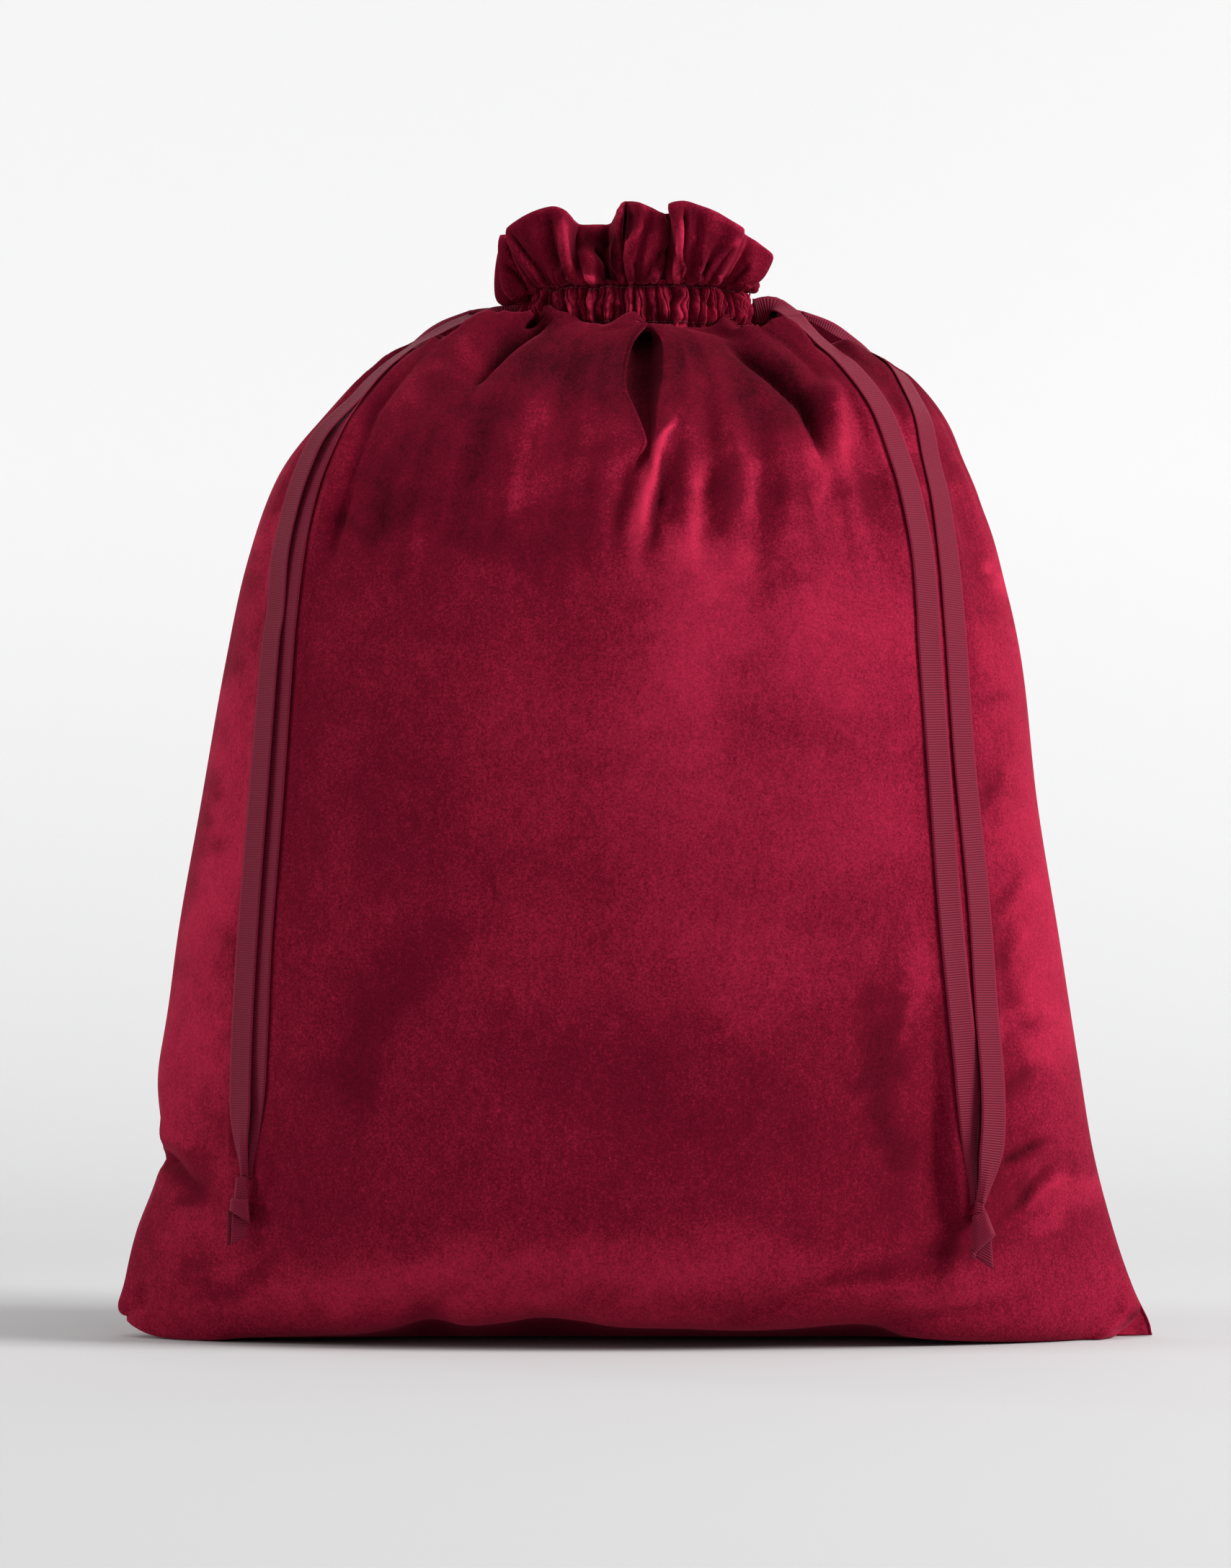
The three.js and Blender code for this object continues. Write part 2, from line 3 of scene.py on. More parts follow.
import bpy
import numpy as np
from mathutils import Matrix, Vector


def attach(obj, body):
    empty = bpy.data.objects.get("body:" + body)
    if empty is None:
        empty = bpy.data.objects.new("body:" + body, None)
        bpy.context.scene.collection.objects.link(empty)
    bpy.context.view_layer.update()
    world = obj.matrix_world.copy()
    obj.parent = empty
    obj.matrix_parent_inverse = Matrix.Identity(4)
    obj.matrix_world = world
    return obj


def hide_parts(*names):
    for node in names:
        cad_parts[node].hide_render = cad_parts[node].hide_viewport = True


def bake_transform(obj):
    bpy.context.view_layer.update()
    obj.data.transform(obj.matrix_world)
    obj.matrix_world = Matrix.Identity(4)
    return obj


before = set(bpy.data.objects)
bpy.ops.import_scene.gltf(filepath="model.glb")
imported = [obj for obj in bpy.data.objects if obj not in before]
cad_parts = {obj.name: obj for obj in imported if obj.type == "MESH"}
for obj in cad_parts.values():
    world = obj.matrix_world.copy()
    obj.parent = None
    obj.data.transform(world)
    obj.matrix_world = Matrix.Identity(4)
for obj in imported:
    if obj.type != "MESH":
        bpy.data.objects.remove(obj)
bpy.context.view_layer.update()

MM = 0.001  # lengths are in millimetres unless a comment says metres, and meshes are scaled on making
scene = bpy.context.scene
scene.view_settings.view_transform = "Standard"

# ---- Camera, level and 2.8 m in front of the sack's middle ----

CAMERA_DISTANCE = 2800
CAMERA_X = -12.6
CAMERA_HEIGHT = 220
PLANE_HEIGHT = 913.9  # what the frame's height takes in at the sack's middle
SENSOR = 36.0
RISE = 0.1108  # shift of the view upwards, in sensor widths
NEAREST, FARTHEST = 0.05, 50  # what the camera takes in, in metres

camera_data = bpy.data.cameras.new("camera")
camera_data.sensor_width = SENSOR
camera_data.lens = SENSOR * CAMERA_DISTANCE / PLANE_HEIGHT
camera_data.shift_y = RISE
camera_data.clip_start = NEAREST
camera_data.clip_end = FARTHEST
camera = bpy.data.objects.new("camera", camera_data)
camera.location = (CAMERA_X * MM, -CAMERA_DISTANCE * MM, CAMERA_HEIGHT * MM)
camera.rotation_euler = (math.pi / 2, 0, 0)
scene.collection.objects.link(camera)
scene.camera = camera

# ---- The drawstrings' routes: x, y, z, and where it isn't worked out, the way the face looks ----

LEFT_FRONT_LEAD = [
    (-67.2, -1.4, 596, 0, -1, 0), (-72, -1.6, 596, 0, -1, 0.05), (-80, -3.4, 595.6, -0.05, -0.85, 0.5),
    (-88, -7, 593.8, -0.15, -0.5, 0.85), (-94, -10, 591.5, -0.25, -0.35, 0.9),
]
LEFT_BACK_LEAD = [
    (-67.2, 1.4, 596, 0, -1, 0), (-71, 1.4, 596, 0, -1, 0), (-80, 2, 594.5, 0, -1, 0),
    (-88, 2.6, 592.3, 0, -1, 0), (-94, 2.8, 590.3, 0, -1, 0),
]
LEFT_OUTER_TAIL = [
    (-94.8, -10.7, 592.5, -0.25, -0.35, 0.9), (-106, -15.4, 587.6, -0.3, -0.35, 0.9),
    (-118, -19, 580.8, -0.4, -0.35, 0.85), (-130, -22.5, 573.3), (-143, -28, 563), (-153, -32.5, 553),
    (-162, -39.8, 541.6), (-181.3, -49.6, 520.4), (-191.8, -54.3, 497.7), (-198.6, -56.4, 475.2),
    (-203.8, -61.9, 448.6), (-206, -66.8, 416), (-209, -69.2, 394), (-215, -76.8, 313),
    (-221, -79, 232), (-224.5, -77.5, 171), (-225.5, -76, 126), (-224.5, -76.5, 106),
    (-223.6, -77.5, 95),
]
LEFT_INNER_TAIL = [
    (-94.4, 1.2, 590.1, 0, -1, 0), (-106, 1.2, 586, 0, -1, 0.05), (-116, 0, 582.5, -0.1, -0.8, 0.5),
    (-126, -4.5, 577, -0.3, -0.45, 0.85), (-137, -13, 569), (-148, -23.5, 559), (-158, -33.2, 546.8),
    (-166.3, -43.2, 534), (-174, -52.4, 520.4), (-183.3, -59, 497.9), (-189.7, -62.7, 475.2),
    (-194.8, -68.4, 448.6), (-198.6, -73, 416), (-200.5, -74.7, 394), (-206, -81.5, 313),
    (-212.5, -83.3, 232), (-215.5, -81.8, 171), (-218, -77, 126), (-220.5, -74.8, 106),
    (-221.6, -74.4, 95),
]
RIGHT_FRONT_LEAD = [
    (67.3, -1.4, 596, 0, -1, 0), (70, -1.5, 596.1, 0, -1, 0.05), (78, -4.2, 598.6, 0.1, -0.85, 0.5),
    (84, -9.2, 597.4, 0.3, -0.6, 0.75), (90, -14.5, 592.8, 0.35, -0.5, 0.8),
]
RIGHT_BACK_LEAD = [
    (67.2, 1.4, 596, 0, -1, 0), (71, 1.5, 596, 0, -1, 0), (80, 3.5, 594, 0, -1, 0),
    (88, 5.5, 592, 0, -1, 0), (94, 6.8, 590.2, 0, -1, 0),
]
RIGHT_INNER_TAIL = [
    (90.4, -14.9, 592.2, 0.35, -0.5, 0.8), (101, -23.5, 580.8), (110, -33.5, 571), (119, -46.4, 561.8),
    (131, -57.8, 545.8), (140.4, -64.2, 529), (148.5, -68.6, 506), (154.8, -74.4, 484),
    (161, -81.8, 450), (163.6, -88.1, 416), (164.5, -92.4, 393), (169, -95.2, 333), (175, -97.5, 252),
    (181, -99, 191), (185, -101, 151), (187, -101, 112), (189, -99, 92), (189.6, -97.8, 81.5),
]
RIGHT_OUTER_TAIL = [
    (94.4, 5.6, 590, 0, -1, 0), (110, 6.2, 585, 0, -0.95, 0.3), (125, 3.5, 578, 0.2, -0.5, 0.85),
    (139, -6, 568.5), (150, -19.4, 560.4), (158, -32.5, 545), (164, -45, 528.5), (168, -52.4, 505),
    (173, -61.2, 480), (177, -71.4, 444), (179, -76.5, 417), (180.5, -80.6, 394), (184.5, -84.4, 333),
    (192.5, -86, 252), (196.5, -91, 191), (199.5, -97, 151), (199.5, -100.5, 121), (196.5, -101.5, 98),
    (193, -101.4, 81.5),
]
RIBBON_WIDTH = 16
RIBBON_THICK = 0.5

# ---- Numbers shared with the CAD part ----

NECK_HALF_WIDTH = 66
NECK_HALF_DEPTH = 36
CASING_BOTTOM = 583
CASING_TOP = 609
SLIT_HALF = 4  # half the gap in the casing that the ribbons leave by
EDGE_POWER = 2.3  # how squarely the body meets its side seams
# height, half-width to the left and right seam, half-depth, roundness of the seam edge, dip at the seams
RINGS = np.array(
    [
        (0, 300, 300, 0, 1.2, 0),
        (0, 300, 300, 50, 1.2, 0),
        (0, 300, 300, 92, 1.2, 0),
        (9, 300, 298, 112, 1.2, 0),
        (28, 299, 289, 124, 1.25, 0),
        (60, 292, 278, 129, 1.35, 0),
        (106, 276, 266, 132, 1.5, 0),
        (160, 275, 257, 134, 1.65, 0),
        (230, 268, 246, 135, 1.8, 0),
        (310, 254, 233, 134, 1.9, 0),
        (390, 240, 224, 129, 1.95, 0),
        (450, 227, 210, 119, 2, 0),
        (500, 209, 193, 104, 2, 0),
        (533, 184, 180, 87, 2, 1),
        (556, 160, 160, 70, 2, 3),
        (573, 136, 130, 55, 2, 7),
        (583, 100, 98, 44, 2, 9),
        (583, 66.5, 66.5, 36.5, 2, 0),
    ],
    float,
)
LAST_RING = len(RINGS) - 1

# ---- Small tools for arrays ----


def smoothstep(value, low, high):
    share = np.clip((np.asarray(value, float) - low) / (high - low), 0, 1)
    return share * share * (3 - 2 * share)


def bell(value, width):
    return np.exp(-((np.asarray(value, float) / width) ** 2))


def curve_through(points, places):
    """Catmull-Rom through the rows of points, at places counted in rows."""
    points = np.asarray(points, float)
    last = len(points) - 1
    places = np.clip(np.asarray(places, float), 0, last)
    first = np.minimum(places.astype(int), last - 1)
    share = (places - first).reshape((-1,) + (1,) * (points.ndim - 1))
    before, start, end, after = (points[np.clip(first + k, 0, last)] for k in (-1, 0, 1, 2))
    bend = 2 * before - 5 * start + 4 * end - after
    twist = 3 * (start - end) + after - before
    return start + 0.5 * share * (end - before + share * (bend + share * twist))


def along_points(pairs, value):
    """A smooth graph through (place, height) pairs."""
    pairs = np.array(pairs, float)
    value = np.asarray(value, float)
    index = np.interp(value, pairs[:, 0], np.arange(len(pairs)))
    return curve_through(pairs[:, 1], index.ravel()).reshape(value.shape)


LATTICE = 64
LATTICE_LAYERS = 16
LATTICE_SEED = 12
lattice_values = np.random.default_rng(LATTICE_SEED).uniform(-1, 1, (LATTICE, LATTICE, LATTICE_LAYERS))


def noise(x, y, layer=0):
    """Smooth noise from -1 to 1 with a grain of one unit."""
    x, y = np.broadcast_arrays(np.asarray(x, float), np.asarray(y, float))
    x0, y0 = np.floor(x).astype(int), np.floor(y).astype(int)
    fx, fy = x - x0, y - y0
    fx, fy = fx * fx * (3 - 2 * fx), fy * fy * (3 - 2 * fy)

    def at(i, j):
        return lattice_values[(x0 + i) % LATTICE, (y0 + j) % LATTICE, layer % LATTICE_LAYERS]

    low = at(0, 0) * (1 - fx) + at(1, 0) * fx
    high = at(0, 1) * (1 - fx) + at(1, 1) * fx
    return low * (1 - fy) + high * fy


def layered_noise(x, y, layer=0, octaves=3):
    """Noise with finer and fainter noise added to it."""
    total = 0
    for k in range(octaves):
        total = total + noise(x * 2**k + 7.3 * k, y * 2**k + 3.1 * k, layer + k) / 2**k
    return total / 1.6


def unit(vectors):
    return vectors / np.maximum(np.linalg.norm(vectors, axis=-1, keepdims=True), 1e-9)


def length_along(line):
    """How far along a line of points each point is, from its start."""
    return np.concatenate([[0], np.cumsum(np.linalg.norm(np.diff(line, axis=0), axis=1))])


def grid_normals(points):
    """Unit normals of a grid of points, from its rows and columns."""
    rows = np.gradient(points, axis=0)
    columns = np.gradient(points, axis=1)
    return unit(np.cross(columns, rows))


# ---- Meshes from grids ----


def make_object(name, points, faces, material, attributes=None):
    mesh = bpy.data.meshes.new(name)
    mesh.from_pydata((np.asarray(points, float) * MM).tolist(), [], faces)
    mesh.update()
    mesh.shade_smooth()
    for key, values in (attributes or {}).items():
        attribute = mesh.attributes.new(key, "FLOAT", "POINT")
        attribute.data.foreach_set("value", np.asarray(values, np.float32).ravel())
    obj = bpy.data.objects.new(name, mesh)
    scene.collection.objects.link(obj)
    obj.data.materials.append(material)
    return obj


def grid_faces(rows, columns, offset=0, flip=False, wrap=False):
    """Four-sided faces over a grid of points, counted from offset, and round its columns when it wraps."""
    index = np.arange(rows * columns).reshape(rows, columns) + offset
    if wrap:
        index = np.hstack([index, index[:, :1]])
    corners = [index[:-1, :-1], index[:-1, 1:], index[1:, 1:], index[1:, :-1]]
    if flip:
        corners.reverse()
    return np.stack([c.ravel() for c in corners], 1).tolist()


def border_faces(rows, columns, offset, flip):
    """Faces that close two grids, the second offset points after the first, round their four edges."""
    index = np.arange(rows * columns).reshape(rows, columns)
    edge = np.concatenate([index[0, :], index[1:, -1], index[-1, -2::-1], index[-2:0:-1, 0]])
    after = np.roll(edge, -1)
    quads = np.stack([edge, after, after + offset, edge + offset], 1)
    return (quads[:, ::-1] if flip else quads).tolist()


def shell_object(name, outer, inner, material, outward_flip, attributes=None):
    """A closed sheet between two grids of points."""
    rows, columns = outer.shape[:2]
    count = rows * columns
    faces = grid_faces(rows, columns, 0, outward_flip)
    faces += grid_faces(rows, columns, count, not outward_flip)
    faces += border_faces(rows, columns, count, not outward_flip)
    points = np.concatenate([outer.reshape(-1, 3), inner.reshape(-1, 3)])
    doubled = {k: np.concatenate([v.ravel(), v.ravel()]) for k, v in (attributes or {}).items()}
    return make_object(name, points, faces, material, doubled)


# ---- Materials ----


def new_material(name):
    material = bpy.data.materials.new(name)
    material.use_nodes = True
    tree = material.node_tree
    shader = tree.nodes["Principled BSDF"]
    return material, tree, shader


def add_node(tree, kind, **values):
    node = tree.nodes.new(kind)
    for key, value in values.items():
        if key in node.inputs:
            node.inputs[key].default_value = value
        else:
            setattr(node, key, value)
    return node


def noise_value(tree, place, **values):
    texture = add_node(tree, "ShaderNodeTexNoise", **values)
    tree.links.new(place, texture.inputs["Vector"])
    return texture.outputs["Fac"]


def calculated(tree, operation, *values):
    """The result of a Math node, whose inputs are sockets or plain numbers."""
    node = add_node(tree, "ShaderNodeMath", operation=operation)
    for socket, value in zip(node.inputs, values):
        if isinstance(value, bpy.types.NodeSocket):
            tree.links.new(value, socket)
        else:
            socket.default_value = value
    return node.outputs[0]


def ranged(tree, value, from_low, from_high, to_low=0.0, to_high=1.0):
    """A value's stretch between two limits, carried over to another stretch."""
    node = add_node(tree, "ShaderNodeMapRange")
    node.inputs["From Min"].default_value = from_low
    node.inputs["From Max"].default_value = from_high
    node.inputs["To Min"].default_value = to_low
    node.inputs["To Max"].default_value = to_high
    tree.links.new(value, node.inputs["Value"])
    return node.outputs["Result"]


def colour_by(tree, shader, value, deep, bright, usual=None):
    """Base colour from deep at 0 to bright at 1, by way of the usual colour at the nap's middle."""
    ramp = add_node(tree, "ShaderNodeValToRGB")
    stops = ramp.color_ramp.elements
    stops[0].color = (*deep, 1)
    stops[1].color = (*bright, 1)
    if usual:
        stops.new(NAP_MIDDLE).color = (*usual, 1)
    tree.links.new(value, ramp.inputs["Fac"])
    tree.links.new(ramp.outputs["Color"], shader.inputs["Base Color"])


def bump_by(tree, shader, height, strength, distance):
    bump = add_node(tree, "ShaderNodeBump", Strength=strength, Distance=distance)
    tree.links.new(height, bump.inputs["Height"])
    tree.links.new(bump.outputs["Normal"], shader.inputs["Normal"])


NAP_MIDDLE = 0.46  # the nap's usual brightness, from 0 to 1
PILE_SCALE = 1150.0  # of the finest grain, in a metre
CLOUD, STROKE, PILE = 0.03, 0.05, 0.22  # how strongly each grain lightens and darkens the nap


def velvet_material(name, deep, usual, bright, sheen):
    """Pile cloth whose colour goes from deep to bright with its nap attribute, which holds the nap's own tone
    together with painted light and shade, and with its own grain.
    """
    material, tree, shader = new_material(name)
    place = add_node(tree, "ShaderNodeTexCoord").outputs["Object"]
    nap_and_painted_light = add_node(tree, "ShaderNodeAttribute", attribute_name="nap_and_painted_light").outputs["Fac"]
    lengthened = add_node(tree, "ShaderNodeMapping")
    lengthened.inputs["Scale"].default_value = (1, 1, 0.5)
    tree.links.new(place, lengthened.inputs["Vector"])
    along = lengthened.outputs["Vector"]
    cloud = noise_value(tree, place, Scale=30.0, Detail=5.0, Roughness=0.65, Distortion=0.6)
    pile = noise_value(tree, place, Scale=PILE_SCALE, Detail=2.0, Roughness=0.7)
    tuft = noise_value(tree, place, Scale=PILE_SCALE / 1.7, Detail=3.0, Roughness=0.7)
    stroke = noise_value(tree, along, Scale=190.0, Detail=4.0, Roughness=0.6, Distortion=1.2)
    grain = calculated(tree, "MULTIPLY", calculated(tree, "ADD", pile, tuft), 0.5)
    value = nap_and_painted_light
    for texture, strength in ((cloud, CLOUD), (grain, PILE), (stroke, STROKE)):
        value = calculated(tree, "ADD", value, ranged(tree, texture, 0.3, 0.7, -strength, strength))
    colour_by(tree, shader, value, deep, bright, usual)
    bump_by(tree, shader, grain, 0.35, 0.0006)
    shader.inputs["Roughness"].default_value = 0.85
    shader.inputs["Specular IOR Level"].default_value = 0.04
    shader.inputs["Sheen Weight"].default_value = sheen
    shader.inputs["Sheen Roughness"].default_value = 0.38
    shader.inputs["Sheen Tint"].default_value = (1.0, 0.09, 0.18, 1)
    return material


velvet = velvet_material(
    "velvet",
    deep=(0.03, 0.0003, 0.003),
    usual=(0.145, 0.0028, 0.016),
    bright=(0.52, 0.021, 0.066),
    sheen=0.33,
)
velvet_back = velvet_material(
    "velvet_back",
    deep=(0.03, 0.001, 0.006),
    usual=(0.09, 0.003, 0.016),
    bright=(0.16, 0.006, 0.03),
    sheen=0.15,
)

RIB_PITCH = 1.4  # from one cross rib of the ribbon to the next


def grosgrain_material():
    """Ribbon woven in fine cross ribs, with a flat selvage at each edge."""
    material, tree, shader = new_material("grosgrain")
    along = add_node(tree, "ShaderNodeAttribute", attribute_name="along").outputs["Fac"]
    across = add_node(tree, "ShaderNodeAttribute", attribute_name="across").outputs["Fac"]
    rib = calculated(tree, "SINE", calculated(tree, "MULTIPLY", along, 2 * math.pi / RIB_PITCH))
    selvage = ranged(tree, calculated(tree, "ABSOLUTE", across), 0.84, 0.93)
    ribs = calculated(tree, "MULTIPLY", rib, calculated(tree, "SUBTRACT", 1.0, selvage))
    height = calculated(tree, "ADD", ribs, selvage)
    shade = ranged(tree, height, -1.0, 1.0, 0.30, 0.74)
    colour_by(tree, shader, shade, (0.06, 0.002, 0.009), (0.25, 0.0105, 0.038))
    bump_by(tree, shader, height, 0.5, 0.0003)
    shader.inputs["Roughness"].default_value = 0.55
    shader.inputs["Specular IOR Level"].default_value = 0.16
    shader.inputs["Specular Tint"].default_value = (1.0, 0.55, 0.65, 1)
    shader.inputs["Sheen Weight"].default_value = 0.05
    shader.inputs["Sheen Roughness"].default_value = 0.5
    shader.inputs["Sheen Tint"].default_value = (1.0, 0.35, 0.45, 1)
    return material


grosgrain = grosgrain_material()


def thread_material():
    material, tree, shader = new_material("thread")
    place = add_node(tree, "ShaderNodeTexCoord").outputs["Object"]
    strands = add_node(tree, "ShaderNodeTexWave", Scale=2200.0, Distortion=3.0, Detail=2.0)
    tree.links.new(place, strands.inputs["Vector"])
    colour_by(tree, shader, strands.outputs["Fac"], (0.06, 0.003, 0.012), (0.26, 0.014, 0.05))
    bump_by(tree, shader, strands.outputs["Fac"], 0.4, 0.0002)
    shader.inputs["Roughness"].default_value = 0.5
    shader.inputs["Sheen Weight"].default_value = 0.2
    return material


thread = thread_material()

# ---- The sack's body ----

ROW_STEP = 3.2
FLOOR_STEP = 14  # between rows on the flat bottom
FLOOR_RINGS = 2
FRONT_COLUMNS = 200
PANEL_THICK = 1.6
# Where the cloth rises in front of the casing: its ring, and how far it reaches down and up, in rings
CREST_RING = 16.25
CREST_BELOW, CREST_ABOVE = 0.95, 0.42
# Where the shoulders are lifted at the side seams, and once more at the left, and by how much
SEAM_RING, SEAM_LIFT = 14.8, 5
LEFT_RING, LEFT_REACH, LEFT_LIFT = 15.3, -0.84, 8


def ring_rows():
    """Places along the rings, close enough together for rows a few millimetres apart."""
    places = [np.array([0.0])]
    for k in range(LAST_RING):
        a, b = RINGS[k], RINGS[k + 1]
        middle = math.hypot(b[0] - a[0], b[3] - a[3])
        side = math.hypot(b[0] - a[0], b[1] - a[1])
        step = FLOOR_STEP if k < FLOOR_RINGS else ROW_STEP
        count = max(2, math.ceil(max(middle, side) / step))
        places.append(k + np.arange(1, count + 1) / count)
    return np.concatenate(places)


# How high the cloth rises in front of the casing, from -1 at the left seam to 1 at the right one
FRONT_PUFF = [
    (-1, 13), (-0.93, 15.5), (-0.76, 15), (-0.58, 11.6), (-0.43, 5.7), (-0.36, 1), (-0.185, 0), (-0.03, 7),
    (0.05, 1), (0.12, 0), (0.29, -2), (0.5, -5), (0.63, 10), (0.8, 16), (0.95, 14), (1, 10),
]
BACK_PUFF = [
    (-1, 9), (-0.93, 11), (-0.8, 13), (-0.6, 8), (-0.45, 12), (-0.2, 6), (0, 11), (0.25, 7),
    (0.45, 12), (0.62, 8), (0.8, 13), (0.93, 11), (1, 9),
]


def body_grid(side, across):
    """The smooth body: rows from the bottom seam up to the neck, columns from left to right."""
    rows = ring_rows()
    place = rows[:, None]
    z, left, right, depth, roundness, dip = (curve_through(RINGS, rows)[:, k : k + 1] for k in range(6))
    reach = np.sin((across[None, :] - 0.5) * math.pi)
    x = np.where(reach < 0, left, right) * reach
    fullness = (1 - np.minimum(1, np.abs(reach) ** EDGE_POWER)) ** (1 / roundness)
    y = side * np.maximum(depth, 0) * fullness
    height = np.maximum(z, 0) - 0.15 * dip * reach**8
    crest = bell(place - CREST_RING, np.where(place < CREST_RING, CREST_BELOW, CREST_ABOVE))
    crest = crest * smoothstep(LAST_RING - place, 0, 0.35)
    height = height + along_points(FRONT_PUFF if side < 0 else BACK_PUFF, reach) * crest
    height = height + SEAM_LIFT * bell(np.abs(reach) - 1, 0.2) * bell(place - SEAM_RING, 0.9)
    if side < 0:
        height = height + LEFT_LIFT * bell(reach - LEFT_REACH, 0.13) * bell(place - LEFT_RING, 0.5)
    return np.stack(np.broadcast_arrays(x, y, height), -1), rows


def seen_plane(points):
    """Where the camera sees points, on the upright plane through the sack's middle."""
    share = CAMERA_DISTANCE / (CAMERA_DISTANCE + points[..., 1])
    x = CAMERA_X + (points[..., 0] - CAMERA_X) * share
    z = CAMERA_HEIGHT + (points[..., 2] - CAMERA_HEIGHT) * share
    return x, z


def beside_line(x, z, line):
    """Signed distance from a line of (x, z) points, positive on its right going along it, the share
    of the way along and the distance past its ends."""
    line = np.array(line, float)
    best = np.full(x.shape, 1e9)
    signed = np.zeros(x.shape)
    along = np.zeros(x.shape)
    lengths = np.linalg.norm(np.diff(line, axis=0), axis=1)
    starts = length_along(line)
    for k, (a, b) in enumerate(zip(line, line[1:])):
        direction = (b - a) / lengths[k]
        dx, dz = x - a[0], z - a[1]
        t = np.clip(dx * direction[0] + dz * direction[1], 0, lengths[k])
        px, pz = dx - t * direction[0], dz - t * direction[1]
        distance = np.hypot(px, pz)
        cross = direction[0] * pz - direction[1] * px
        nearer = distance < best
        best = np.where(nearer, distance, best)
        signed = np.where(nearer, -np.sign(cross) * distance, signed)
        along = np.where(nearer, (starts[k] + t) / starts[-1], along)
    return signed, along, best


def fold(x, z, line, depth, width, roll=0.0, roll_width=12.0, roll_side=1, fade=0.25, late_fade=0.25):
    """Height of a fold: a crease along a line, with a roll of cloth on one side of it."""
    signed, along, best = beside_line(x, z, line)
    ends = smoothstep(along, -0.02, fade) * smoothstep(1 - along, -0.02, late_fade)
    outside = np.sqrt(np.maximum(best**2 - signed**2, 0))
    ends = ends * bell(outside, width)
    crease = -depth * np.exp(-np.abs(signed / width) ** 1.25)
    hill = roll * bell(signed * roll_side - roll_width * 0.9, roll_width * 0.75)
    return (crease + hill) * ends


def ridge(x, z, line, height, width, fade=0.3, late_fade=0.3):
    """Height of a rounded ridge along a line, or of a groove when the height is below zero."""
    signed, along, _ = beside_line(x, z, line)
    ends = smoothstep(along, -0.02, fade) * smoothstep(1 - along, -0.02, late_fade)
    return height * bell(signed, width) * ends


# Folds on the front, by the points x, z of their creases: points, depth, width, then what is unusual
FRONT_FOLDS = [
    # on the left shoulder, a roll of cloth that comes over from the neck
    (
        [(-45, 596), (-62, 587), (-77, 577), (-88, 566), (-94, 556), (-96, 546)],
        12, 3.6, {"roll": 5, "roll_width": 15, "late_fade": 0.35},
    ),
    (
        [(-120, 572), (-140, 553), (-152, 538), (-166, 505), (-176, 470), (-182, 440)],
        7, 5, {"roll": 2.5, "roll_width": 9},
    ),
    # on the right shoulder
    (
        [(44, 586), (62, 574), (80, 561), (96, 545), (106, 526), (110, 505)],
        10, 4.5, {"roll": 4, "roll_width": 14, "roll_side": -1},
    ),
    ([(66, 590), (84, 580), (100, 566), (112, 550)], 5, 5, {"roll": 3, "roll_width": 10, "roll_side": -1}),
    # below the open pleat
    ([(17, 514), (14.5, 498), (11.5, 480), (5, 448), (1, 430)], 4, 4.5, {"fade": 0.05, "late_fade": 0.8}),
    # where the left side folds in
    (
        [(-282, 108), (-274, 103), (-262, 90), (-246, 78), (-232, 70)],
        8, 5, {"roll": 3.5, "roll_width": 13, "roll_side": -1, "fade": 0.0, "late_fade": 0.75},
    ),
    ([(-270, 82), (-258, 80), (-247, 80)], 2, 3, {}),
    ([(-291, 30), (-289, 22), (-286, 12)], 2.5, 4, {}),
    # along the wavy lower edge
    ([(-125, 2), (-112, 16), (-92, 30), (-60, 40)], 3, 9, {"fade": 0.0, "late_fade": 0.7}),
    ([(60, 2), (78, 12), (110, 24), (150, 30)], 3, 8, {"fade": 0.0, "late_fade": 0.7}),
    ([(160, 2), (182, 10), (214, 16), (250, 30)], 3, 7, {"fade": 0.0, "late_fade": 0.6}),
]
# Ridges on the shoulders and beside the pleat: points, height, width
FRONT_RIDGES = [
    ([(-104, 582), (-128, 562), (-150, 538), (-168, 508), (-184, 478), (-194, 440)], 4, 8),
    ([(112, 562), (115, 543), (116, 520), (114, 496)], 5, 7),
    ([(21, 540), (14, 516), (5, 488), (-2, 450)], 4.5, 5.5),
    ([(-3, 516), (-9, 492), (-14, 460)], -2.2, 6),
]
# Gathers running down from the neck: points, height, width
FRONT_GATHERS = [
    ([(38, 560), (42, 520), (40, 480), (36, 440)], -3.2, 7),
    ([(52, 565), (56, 520), (55, 470), (52, 430)], 2.6, 8),
    ([(66, 560), (72, 510), (72, 460), (68, 425)], -3.0, 8),
    ([(30, 570), (31, 530), (28, 480), (24, 440)], 2.2, 6),
    ([(84, 535), (90, 490), (88, 450)], 2.5, 9),
    ([(-14, 575), (-18, 540), (-22, 490), (-25, 440)], 2.0, 9),
    ([(-32, 575), (-40, 535), (-46, 490), (-50, 450)], -2.2, 9),
    ([(-52, 570), (-66, 520), (-74, 470)], 2.0, 11),
    ([(-75, 560), (-96, 520), (-108, 470), (-112, 430)], -2.4, 11),
    ([(-102, 540), (-126, 500), (-138, 450), (-142, 410)], 2.2, 12),
    ([(128, 540), (138, 490), (144, 440)], -2.4, 8),
    ([(172, 520), (190, 480), (200, 430), (206, 380)], -2.6, 9),
    ([(184, 520), (204, 480), (216, 430)], 2.2, 9),
    ([(-176, 520), (-206, 480), (-222, 430)], -2.0, 9),
]
